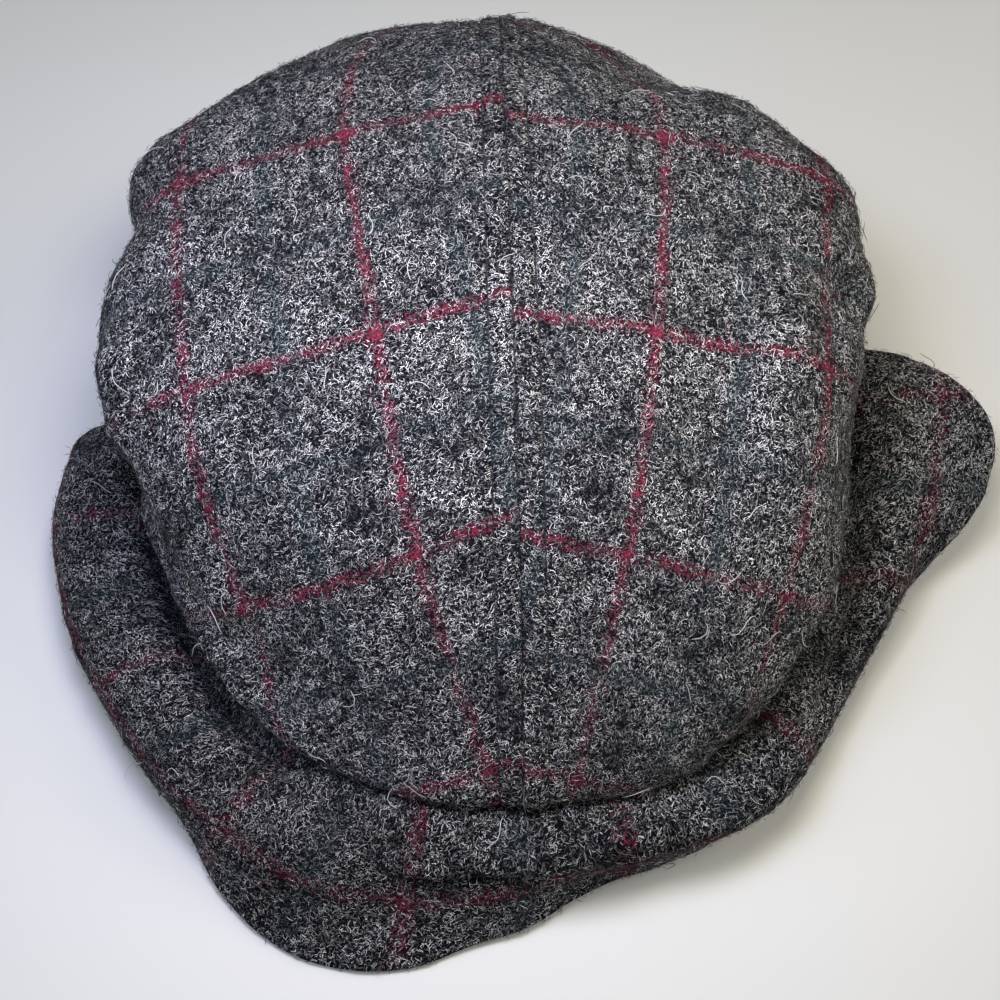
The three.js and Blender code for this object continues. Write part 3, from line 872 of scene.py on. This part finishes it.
def crown_panel(name, side, settings):
    """A panel of the crown, the line of its stitches and its flat cut."""
    depth = CROWN_GRID[2]
    along, across = grid_steps(CROWN_GRID, CROWN_WALL / 2)
    rim = across * depth
    across = np.concatenate([SEAM_COLUMNS, rim[rim > SEAM_COLUMNS_TO]]) / depth
    along, across = np.meshgrid(along, across, indexing="ij")
    smooth = crown_point(side, along, across)
    turn = -side
    outer = smooth + grid_normals(smooth, turn) * dent_depth(smooth)[..., None]
    cut, check = (at_places(grid, along, across) for grid in crown_cut(side, settings))
    over, down = run_lengths(outer, 1), run_lengths(outer, 0)
    relief = seam_relief(over, down, settings) + fold_rise(outer)
    relief += uneven_rise(cut, CROWN_UNEVENNESS, settings.seed + side)
    kept = np.clip(edge_distance(outer) / CROWN_FADE + (over < SEAM_WIDTH), 0, 1)
    middle = outer + grid_normals(outer, turn) * (relief * kept - CROWN_WALL / 2)[..., None]
    top, under = thicken(middle, turn, CROWN_WALL, CROWN_EDGE)
    row = settings.stitch_from_seam / MM
    # Painted shade: the wool is drawn darker along the stitch groove and at the seam, with a random strength
    groove_shading = GROOVE_SHADE_MEAN + GROOVE_SHADE_VARIES * unevenness(cut, GROOVE_SHADE_WAVE, settings.seed + GROOVE_SHADE_SEED)
    groove_shade = groove_shading * swell(over - row, GROOVE_SHADE_REACH) + GROOVE_SHADE_AT_SEAM * swell(over, GROOVE_SHADE_REACH)
    bald = swell(over - row, BALD_REACH, 4)
    obj = cloth_object(name, top, under, check, turn, np.clip(groove_shade, 0, 1), bald)
    stitched = np.array([
        [np.interp(row, lengths, points[:, axis]) for axis in range(3)] for lengths, points in zip(over, top)
    ])
    return obj, stitched, cut


class CAP_OT_crown(bpy.types.Operator):
    """Builds the two crown panels and the stitches beside their seam"""

    bl_idname = "cap.crown"
    bl_label = "Crown panels"

    def execute(self, context):
        settings = context.scene.cap
        for name, side in (("crown_left", LEFT), ("crown_right", RIGHT)):
            panel, stitched, cut = crown_panel(name + "_panel", side, settings)
            wool = Wool("crown wool " + name.removeprefix("crown_"), settings, *CROWN_LOOK)
            dress(panel, wool, name)
            lay_sheet(cut)
            stitch_row(name + "_stitches", stitched, settings)
        return {"FINISHED"}


def flap_crease(at, from_edge):
    """The sharp crease at the back, where the flap's roll hangs over its own free edge."""
    line = np.interp(at, CREASE_AT, CREASE_FROM_EDGE)
    strength = np.interp(at, CREASE_AT, CREASE_STRENGTH)
    groove = swell(from_edge - line, CREASE_REACH)
    roll = swell(from_edge - line - ROLL_AT, ROLL_REACH)
    below = np.where(from_edge < line, np.exp((from_edge - line) / FALL_REACH), 0.0)
    return strength * (ROLL_RISE * roll - CREASE_DEPTH * groove - FALL_DEPTH * below), strength * groove


class CAP_OT_flap(bpy.types.Operator):
    """Builds the flap round the back and sides"""

    bl_idname = "cap.flap"
    bl_label = "Ear flap"

    def execute(self, context):
        settings = context.scene.cap
        along, across = grid_steps(FLAP_GRID, FLAP_WALL / 2)
        at = FLAP_FROM + along * (FLAP_TO - FLAP_FROM)
        outer, from_edge = flap_points(at, across)
        turn = -1
        run = run_lengths(outer, 0)[:, len(across) // 2]
        run = run - np.interp((FLAP_CROSSING_AT - FLAP_FROM) / (FLAP_TO - FLAP_FROM), along, run)
        run = np.where(run > 0, run * FLAP_PULL, run)
        stripe = np.interp(at, FLAP_STRIPE_AT, FLAP_STRIPE_FROM_EDGE)
        flat = np.stack([np.broadcast_to(run[:, None], from_edge.shape), from_edge - stripe[:, None]], -1)
        crease, groove = flap_crease(at[:, None], from_edge)
        from_rim = run_lengths(outer, 1)
        dip, dip_from_rim, dip_reach = (
            np.interp(at, FLAP_DIP_AT, column)[:, None]
            for column in (FLAP_DIP, FLAP_DIP_FROM_RIM, FLAP_DIP_REACH)
        )
        dipped = swell(from_rim - dip_from_rim, dip_reach)
        relief = uneven_rise(flat, FLAP_UNEVENNESS, settings.seed) + (crease - dip * dipped)
        relief *= np.clip(from_rim / FLAP_FADE, 0, 1)
        middle = outer + grid_normals(outer, turn) * (relief - FLAP_WALL / 2)[..., None]
        top, under = thicken(middle, turn, FLAP_WALL, FLAP_WALL / 2)
        keep_on_floor(top, under)
        bald = np.maximum(groove, dipped * (dip > 0))
        # Painted shade: the wool is drawn darker in the crease's groove
        flap = cloth_object("ear_flap_cloth", top, under, flat, turn, groove, bald)
        dress(flap, Wool("flap wool", settings, *FLAP_LOOK), "ear_flap")
        lay_sheet(flat)
        return {"FINISHED"}


class CAP_OT_peak(bpy.types.Operator):
    """Builds the cloth-covered peak"""

    bl_idname = "cap.peak"
    bl_label = "Peak"

    def execute(self, context):
        settings = context.scene.cap
        outer = peak_points(*grid_steps(PEAK_GRID, PEAK_THICKNESS / 2))
        flat = outer[..., :2] - (0, RIM_MIDDLE_Y)
        turn = 1
        relief = uneven_rise(flat, PEAK_UNEVENNESS, settings.seed)
        middle = outer + grid_normals(outer, turn) * (relief - PEAK_THICKNESS / 2)[..., None]
        top, under = thicken(middle, turn, PEAK_THICKNESS, PEAK_THICKNESS / 2)
        keep_on_floor(top, under)
        peak = cloth_object("peak_cloth", top, under, flat, turn)
        dress(peak, Wool("peak wool", settings, *FLAP_LOOK), "peak")
        return {"FINISHED"}


def dress(piece, wool, node):
    """Gives a cloth its wool and puts it in the place of its CAD node."""
    piece.data.materials.append(wool.material)
    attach(piece, ROOT)
    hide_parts(node)


def lay_sheet(flat):
    """Works out the area of a cloth's flat cut in square metres, and keeps nothing of it."""
    grid_area(flat) * MM * MM


class Wool(Material):
    """Felted wool: layers of short curved fibres over a dark ground, and the windowpane check."""

    def __init__(self, name, settings, brightness, stripe_strength, stripe_spread, red_fading):
        super().__init__(name, Roughness=0.95)
        self.settings = settings
        self.brightness = brightness
        self.stripe_strength = stripe_strength
        self.stripe_spread = stripe_spread
        self.red_fading = red_fading
        self.place = self.node("ShaderNodeUVMap", {"uv_map": CLOTH_MAP}).outputs[0]
        self.patches = self.noise(self.place, PATCH_WAVES, 2.0, 0.6).between(*PATCH_LIMITS)
        self.clouds = self.noise(self.place, CLOUD_WAVES).between(*PATCH_LIMITS)
        self.wander = (self.noise(self.place, WANDER_WAVES) - 0.5) * 2.0
        across = self.node("ShaderNodeSeparateXYZ", None, {0: self.place}).outputs[0]
        self.paler = 1.0 + self.value(across).between(*RIGHT_EAR) * EAR_PALER
        self.red, self.teal = self.check()
        self.dark = self.dye(settings.wool_dark)
        base = self.mix(self.teal, self.dark, self.dye(settings.overcheck_teal, GROUND_TEAL))
        red_ground = self.dye(settings.stripe_red, GROUND_RED * stripe_spread)
        base = self.mix(self.red * (GROUND_RED_SHOWS * stripe_spread), base, red_ground)
        for layer in FIBRE_LAYERS:
            mask, fibre = self.fibres(*layer)
            base = self.mix(mask, base, fibre)
        # Painted shade: darkens the fibres where the groove-shade attribute is set, at the stitches, the seam
        # and the flap's crease
        groove_shading = self.node("ShaderNodeAttribute", {"attribute_name": PAINTED_SHADE}).outputs["Fac"]
        base = self.mix(self.value(groove_shading) * GROOVE_SHADE_DARK, base, self.dark)
        nap = self.noise(self.place, NAP_WAVES, 1.0, 0.6)
        bump = self.node(
            "ShaderNodeBump", None, {"Strength": NAP_STRENGTH, "Distance": NAP_HEIGHT * MM, "Height": nap}
        )
        self.set(Base_Color=base, Normal=bump.outputs[0], Specular_IOR_Level=0.04)

    def dye(self, tint, share=1.0):
        return colour(v * self.brightness * share for v in tint)

    def check(self):
        settings = self.settings
        parts = self.node("ShaderNodeSeparateXYZ", None, {0: self.place})
        places = [self.value(socket) for socket in parts.outputs[:2]]
        u, v = places
        width = settings.stripe_width * self.stripe_spread / MM
        columns = 1.0 - abs(u).between(*OUTER_COLUMNS) * OUTER_LOSS
        columns = columns * (1.0 - (v * -1.0).between(*TO_BACK) * (self.red_fading * BACK_LOSS))
        kept = 1.0 - abs(u).between(*BEYOND_COLUMNS) * self.red_fading
        # Painted shade: the red fades towards the front, where grazing light and fuzz dim it
        kept = kept * (1.0 - v.between(*TO_FRONT) * (self.red_fading * FRONT_LOSS))
        red, teal = [], []
        for place, repeat in zip(places, (settings.check_across / MM, settings.check_along / MM)):
            position = place + self.wander
            red.append(self.line(position, repeat, width, RED_SOFTNESS))
            teal.append(self.line(position + repeat / 2, repeat, width * TEAL_BREADTH))
        worn = self.noise(self.place, WEAR_WAVES, 1.0).between(*WEAR_LIMITS)
        strength = (self.patches * RED_PATCHY + worn * RED_WORN + RED_LEAST) * self.stripe_strength
        teal_strength = TEAL_LEAST + self.clouds * TEAL_CLOUDY
        return (red[0] * columns + red[1]) * kept * strength, teal[0].larger(teal[1]) * teal_strength

    def fibres(self, scale, width, length, shift):
        """One layer of fibres, one to a cell, each turned, bent and toned at random."""
        settings = self.settings
        shifted = self.vector("ADD", self.place, (shift, -shift, 0.0))
        cell = self.node(
            "ShaderNodeTexVoronoi", {"voronoi_dimensions": "2D", "feature": "F1"},
            {"Vector": shifted, "Scale": scale},
        )
        chance = self.node("ShaderNodeSeparateColor", None, {0: cell.outputs["Color"]})
        turn, bend, tone = (self.value(socket) for socket in chance.outputs)
        local = self.node(
            "ShaderNodeVectorRotate", {"rotation_type": "Z_AXIS"},
            {"Vector": self.vector("SUBTRACT", shifted, cell.outputs["Position"]), "Angle": turn * math.tau},
        ).outputs[0]
        parts = self.node("ShaderNodeSeparateXYZ", None, {0: local})
        along = self.value(parts.outputs[0])
        off = abs(self.value(parts.outputs[1]) + (bend - 0.5) * FIBRE_BEND * along * along)
        mask = 1.0 - off.between(width * FIBRE_SIDE, width)
        mask = mask * (1.0 - abs(along).between(length * FIBRE_END, length))
        light = tone**FIBRE_RARITY * (LIGHT_LEAST + self.patches + self.clouds * LIGHT_CLOUDY) * self.paler
        fibre = self.mix(light, self.dark, self.dye(settings.wool_light))
        fibre = self.mix(self.teal * TEAL_FIBRES, fibre, self.dye(settings.overcheck_teal))
        fresh_chance = (bend * RED_MIXING[0] + tone * RED_MIXING[1]).fraction()
        dyed = (self.red * RED_FIBRE_SHARE - fresh_chance).above(0.0)
        ruby = self.mix(tone, *(self.dye(settings.stripe_red, share) for share in RED_FIBRES))
        return mask, self.mix(dyed, fibre, ruby)


def thread_material(settings):
    made = Material("topstitch thread", Roughness=0.8)
    wear = made.noise(made.node("ShaderNodeTexCoord").outputs["Object"], THREAD_WAVES)
    worn = colour(v * THREAD_WORN for v in settings.thread)
    made.set(Base_Color=made.mix(wear, colour(settings.thread), worn))
    return made.material


def new_group(name, inputs):
    """A geometry tree with named inputs, and its identifiers by name."""
    group = bpy.data.node_groups.new(name, "GeometryNodeTree")
    group.interface.new_socket("Geometry", in_out="INPUT", socket_type="NodeSocketGeometry")
    identifiers = {}
    for label, kind in inputs.items():
        identifiers[label] = group.interface.new_socket(label, in_out="INPUT", socket_type=kind).identifier
    group.interface.new_socket("Geometry", in_out="OUTPUT", socket_type="NodeSocketGeometry")
    return group, identifiers


def grow(name, source, slot, group, identifiers, values):
    """The plain mesh that a tree makes of a source mesh, as an object of its own."""
    obj = bpy.data.objects.new(name, source)
    bpy.context.scene.collection.objects.link(obj)
    modifier = obj.modifiers.new(group.name, "NODES")
    modifier.node_group = group
    for label, value in values.items():
        modifier[identifiers[label]] = value
    mesh = bpy.data.meshes.new_from_object(obj.evaluated_get(bpy.context.evaluated_depsgraph_get()))
    obj.modifiers.clear()
    obj.data = mesh
    mesh.name = name
    mesh.shade_smooth()
    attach(obj, ROOT)


def stitch_tree(material):
    """Small flat-lying stitches at every pitch along a line."""
    group, identifiers = new_group("stitches along a line", {
        "Pitch": "NodeSocketFloat", "Length": "NodeSocketFloat", "Thickness": "NodeSocketFloat",
    })
    tree = Tree(group)
    given = tree.node("NodeGroupInput").outputs
    line = tree.node("GeometryNodeMeshToCurve", None, {0: given["Geometry"]}).outputs[0]
    spots = tree.node(
        "GeometryNodeResampleCurve", {"mode": "LENGTH"}, {"Curve": line, "Length": given["Pitch"]}
    ).outputs[0]
    tangent = tree.node("GeometryNodeInputTangent").outputs[0]
    turned = tree.node("FunctionNodeAlignRotationToVector", {"axis": "X"}, {"Vector": tangent}).outputs[0]
    bead = tree.node("GeometryNodeMeshUVSphere", None, {"Segments": 8, "Rings": 6, "Radius": 0.5}).outputs[0]
    size = tree.join(given["Length"], given["Thickness"], given["Thickness"])
    stitches = tree.node(
        "GeometryNodeInstanceOnPoints", None,
        {"Points": spots, "Instance": bead, "Rotation": turned, "Scale": size},
    ).outputs[0]
    real = tree.node("GeometryNodeRealizeInstances", None, {0: stitches}).outputs[0]
    dressed = tree.node("GeometryNodeSetMaterial", None, {"Geometry": real, "Material": material}).outputs[0]
    tree.node("NodeGroupOutput", None, {0: dressed})
    return group, identifiers


def stitch_row(name, points, settings):
    """A row of topstitching along a line of points."""
    line = bpy.data.meshes.new(name + "_line")
    inside = points[STITCHES_FROM_END:-STITCHES_FROM_END]
    edges = [(k, k + 1) for k in range(len(inside) - 1)]
    line.from_pydata(((inside + TABLES_AT) * MM).tolist(), edges, [])
    grow(name, line, "crown_wool", *stitch_tree(thread_material(settings)), {
        "Pitch": settings.stitch_pitch, "Length": settings.stitch_pitch * STITCH_LENGTH,
        "Thickness": STITCH_THICKNESS * MM,
    })
    bpy.data.meshes.remove(line)


def spindle(name, path, radius):
    """A closed hair along a path, pointed at both ends."""
    rings = []
    for k in range(1, len(path) - 1):
        forward = path[k + 1] - path[k - 1]
        forward = forward / np.linalg.norm(forward)
        side = np.cross(forward, (0.0, 0.0, 1.0))
        side = side / max(np.linalg.norm(side), 1e-6)
        up = np.cross(side, forward)
        for corner in range(HAIR_SIDES):
            angle = 2 * math.pi * corner / HAIR_SIDES
            rings.append(path[k] + radius * (math.cos(angle) * side + math.sin(angle) * up))
    points = [path[0], *rings, path[-1]]
    last = len(points) - 1
    faces = []
    for corner in range(HAIR_SIDES):
        after = (corner + 1) % HAIR_SIDES
        faces.append((0, 1 + after, 1 + corner))
        faces.append((last, last - HAIR_SIDES + corner, last - HAIR_SIDES + after))
        for here in range(1, last - HAIR_SIDES, HAIR_SIDES):
            faces.append((here + corner, here + after, here + after + HAIR_SIDES, here + corner + HAIR_SIDES))
    mesh = bpy.data.meshes.new(name)
    mesh.from_pydata([tuple(p) for p in points], [], faces)
    return bpy.data.objects.new(name, mesh)


def hair_shapes(name, table, seed):
    """A collection of hairs of about unit length that lie along the cloth and curl."""
    count, points, curl, lift, radius, number = table
    chance = np.random.default_rng(seed + number)
    shapes = bpy.data.collections.new(name)
    for k in range(count):
        share = np.linspace(0, 1, points)
        bend = curl * chance.uniform(*BENDS) * chance.choice((-1, 1))
        wave = np.sin(2 * math.pi * chance.uniform(*WAVES) * share + chance.uniform(*PHASES))
        heading = bend * wave + bend * share
        step = np.stack([np.cos(heading), np.sin(heading)], -1) / (points - 1)
        plan = np.concatenate([np.zeros((1, 2)), np.cumsum(step[:-1], axis=0)])
        rise = lift * chance.uniform(*LIFTS)
        height = rise * np.sin(math.pi * share * chance.uniform(*ARCHES)) - HAIR_ROOT
        path = np.concatenate([plan, height[:, None]], -1)
        shapes.objects.link(spindle(f"{name} {k}", path, radius))
    return shapes


def hair_material(name, tint):
    made = Material(name, Roughness=0.6)
    made.set(Base_Color=colour(tint), Specular_IOR_Level=0.1)
    return made.material


def hair_tree(settings):
    """Hairs all over the outer faces of a cloth, red ones mostly on the red lines."""
    group, identifiers = new_group("hairs on cloth", {
        "Shapes": "NodeSocketCollection", "Hairs per area": "NodeSocketFloat", "Length": "NodeSocketFloat",
        "Tilt": "NodeSocketFloat", "Least tone": "NodeSocketFloat", "Seed": "NodeSocketInt",
    })
    tree = Tree(group)
    given = tree.node("NodeGroupInput").outputs

    def attribute(name, kind="FLOAT"):
        return tree.node("GeometryNodeInputNamedAttribute", {"data_type": kind}, {"Name": name}).outputs[0]

    def chance(seed, least=0.0, most=1.0):
        made = tree.node("FunctionNodeRandomValue", {"data_type": "FLOAT"}, {2: least, 3: most, "Seed": seed})
        return tree.value(made.outputs[1])

    spread = tree.node(
        "GeometryNodeDistributePointsOnFaces", {"distribute_method": "RANDOM"},
        {
            "Mesh": given["Geometry"], "Seed": given["Seed"],
            "Density": tree.value(attribute(OUTER_FACE)) * given["Hairs per area"],
        },
    )
    place = attribute(CLOTH_MAP, "FLOAT_VECTOR")
    u, v = (tree.value(socket) for socket in tree.node("ShaderNodeSeparateXYZ", None, {0: place}).outputs[:2])
    width = settings.stripe_width / MM
    on_column = tree.line(u, settings.check_across / MM, width)
    on_row = tree.line(v, settings.check_along / MM, width)
    # Painted shade: fewer red hairs towards the front, where grazing light and fuzz dim the red
    on_red = on_column.larger(on_row) * (1.0 - v.between(*TO_FRONT) * FRONT_HAIR_LOSS)
    patches = tree.noise(place, PATCH_WAVES, 2.0, 0.6).between(*PATCH_LIMITS)
    paleness = chance(TONE_SEED) * (HAIR_PALE + patches * HAIR_PATCHY)
    reddened = (on_red * RED_HAIR_SHARE - chance(RED_SEED)).above(0.0)
    tone = paleness * (1.0 - reddened) + reddened * RED_TONE
    toned = tree.node(
        "GeometryNodeStoreNamedAttribute", {"data_type": "FLOAT", "domain": "POINT"},
        {"Geometry": spread.outputs["Points"], "Name": HAIR_TONE, "Value": tone},
    ).outputs[0]
    shapes = tree.node(
        "GeometryNodeCollectionInfo", None,
        {"Collection": given["Shapes"], "Separate Children": True, "Reset Children": True},
    ).outputs[0]
    swing = tree.node(
        "FunctionNodeRandomValue", {"data_type": "FLOAT_VECTOR"},
        {"Min": (-1.0, -1.0, -math.pi), "Max": (1.0, 1.0, math.pi), "Seed": SWING_SEED},
    ).outputs[0]
    swing = tree.vector("MULTIPLY", swing, tree.join(given["Tilt"], given["Tilt"], 1.0))
    swing = tree.node("FunctionNodeEulerToRotation", None, {0: swing}).outputs[0]
    turned = tree.node(
        "FunctionNodeRotateRotation", {"rotation_space": "LOCAL"},
        {"Rotation": spread.outputs["Rotation"], "Rotate By": swing},
    ).outputs[0]
    pick = tree.node(
        "FunctionNodeRandomValue", {"data_type": "INT"}, {4: 0, 5: SHAPE_PICKS, "Seed": SHAPE_SEED}
    )
    hairs = tree.node(
        "GeometryNodeInstanceOnPoints", None,
        {
            "Points": toned, "Selection": tone.above(given["Least tone"]), "Instance": shapes,
            "Pick Instance": True, "Instance Index": pick.outputs[2], "Rotation": turned,
            "Scale": chance(SIZE_SEED, *HAIR_SIZES) * given["Length"],
        },
    ).outputs[0]
    real = tree.node("GeometryNodeRealizeInstances", None, {0: hairs}).outputs[0]
    position = tree.node("GeometryNodeInputPosition").outputs[0]
    spot = tree.node("ShaderNodeSeparateXYZ", None, {0: position}).outputs
    lifted = tree.join(spot[0], spot[1], tree.value(spot[2]).larger(HAIR_ABOVE_FLOOR * MM))
    dressed = tree.node("GeometryNodeSetPosition", None, {"Geometry": real, "Position": lifted}).outputs[0]
    kept_tone = tree.value(attribute(HAIR_TONE))
    for name, lowest, tint in HAIR_TONES:
        dressed = tree.node(
            "GeometryNodeSetMaterial", None,
            {"Geometry": dressed, "Selection": kept_tone.above(lowest), "Material": hair_material(name, tint)},
        ).outputs[0]
    tree.node("NodeGroupOutput", None, {0: dressed})
    return group, identifiers


class CAP_OT_hairs(bpy.types.Operator):
    """Grows the wool's short and long hairs on every cloth piece"""

    bl_idname = "cap.hairs"
    bl_label = "Wool hairs"

    def execute(self, context):
        settings = context.scene.cap
        group, identifiers = hair_tree(settings)
        short = hair_shapes("short hairs", SHORT_SHAPES, settings.seed)
        long = hair_shapes("long hairs", LONG_SHAPES, settings.seed)
        for number, (name, cloth, slot, short_share, long_share) in enumerate(HAIRY_CLOTHS):
            source = bpy.data.objects[cloth].data
            short_per_mm2, long_per_mm2 = settings.short_hairs * short_share, settings.long_hairs * long_share
            for kind, shapes, per_mm2, length, tilt, least in (
                ("short", short, short_per_mm2, settings.short_hair_length, SHORT_TILT, SHORT_LEAST),
                ("long", long, long_per_mm2, settings.long_hair_length, LONG_TILT, LONG_LEAST),
            ):
                grow(f"{name}_{kind}_hairs", source, slot, group, identifiers, {
                    "Shapes": shapes, "Hairs per area": per_mm2 / MM**2, "Length": length,
                    "Tilt": tilt, "Least tone": least, "Seed": settings.seed + HAIR_SEED + number,
                })
        for shapes in (short, long):
            for shape in list(shapes.objects):
                bpy.data.objects.remove(shape)
            bpy.data.collections.remove(shapes)
        return {"FINISHED"}


def area_light(name, place, target, size, power, tint):
    data = bpy.data.lights.new(name, "AREA")
    data.shape = "DISK"
    data.size = size
    data.energy = power
    data.color = tint
    lamp = bpy.data.objects.new(name, data)
    lamp.location = place
    direction = np.array(target) - np.array(place)
    lamp.rotation_euler = (
        math.atan2(math.hypot(direction[0], direction[1]), -direction[2]), 0.0,
        math.atan2(direction[0], -direction[1]) + math.pi,
    )
    bpy.context.scene.collection.objects.link(lamp)


class CAP_OT_stage(bpy.types.Operator):
    """Sets the floor, the light and the camera"""

    bl_idname = "cap.stage"
    bl_label = "Stage"

    def execute(self, context):
        scene = context.scene
        corners = [(-FLOOR_HALF, -FLOOR_HALF, 0), (FLOOR_HALF, -FLOOR_HALF, 0)]
        corners += [(FLOOR_HALF, FLOOR_HALF, 0), (-FLOOR_HALF, FLOOR_HALF, 0)]
        mesh = bpy.data.meshes.new("floor")
        mesh.from_pydata(corners, [], [(0, 1, 2, 3)])
        floor = bpy.data.objects.new("floor", mesh)
        scene.collection.objects.link(floor)
        tint = scene.cap.floor
        made = Material("pale floor", Roughness=0.9)
        faint = made.noise(made.node("ShaderNodeTexCoord").outputs["Object"], FLOOR_WAVES, 3.0) * FLOOR_MARKED
        made.set(Base_Color=made.mix(faint, colour(tint), colour(v * FLOOR_MARKS for v in tint)))
        mesh.materials.append(made.material)
        scene.world = bpy.data.worlds.new("studio")
        scene.world.use_nodes = True
        sky = scene.world.node_tree.nodes["Background"].inputs
        sky["Color"].default_value = colour(SKY)
        sky["Strength"].default_value = SKY_STRENGTH
        for light in LIGHTS:
            area_light(*light)
        data = bpy.data.cameras.new("camera")
        data.sensor_width = SENSOR
        data.lens = LENS
        data.clip_start, data.clip_end = NEAREST, FURTHEST
        camera = bpy.data.objects.new("camera", data)
        camera.location = CAMERA_AT
        camera.rotation_euler = (CAMERA_TILT, 0.0, 0.0)
        scene.collection.objects.link(camera)
        scene.camera = camera
        scene.view_settings.view_transform = "Standard"
        return {"FINISHED"}


class CAP_PT_panel(bpy.types.Panel):
    """Lists the cap's settings and the steps that build it"""

    bl_idname = "CAP_PT_panel"
    bl_label = "Earflap cap"
    bl_space_type = "VIEW_3D"
    bl_region_type = "UI"
    bl_category = "Cap"

    def draw(self, context):
        settings = context.scene.cap
        for name in CapSettings.__annotations__:
            self.layout.prop(settings, name)
        for step in STEPS:
            self.layout.operator(step.bl_idname)


STEPS = (CAP_OT_stage, CAP_OT_flap, CAP_OT_peak, CAP_OT_crown, CAP_OT_hairs)
CLASSES = (CapSettings, *STEPS, CAP_PT_panel)


def register():
    for each in CLASSES:
        bpy.utils.register_class(each)
    bpy.types.Scene.cap = PointerProperty(type=CapSettings)


def unregister():
    del bpy.types.Scene.cap
    for each in reversed(CLASSES):
        bpy.utils.unregister_class(each)


def main():
    register()
    bpy.ops.cap.stage()
    bpy.ops.cap.flap()
    bpy.ops.cap.peak()
    bpy.ops.cap.crown()
    bpy.ops.cap.hairs()


if __name__ == "__main__":
    main()
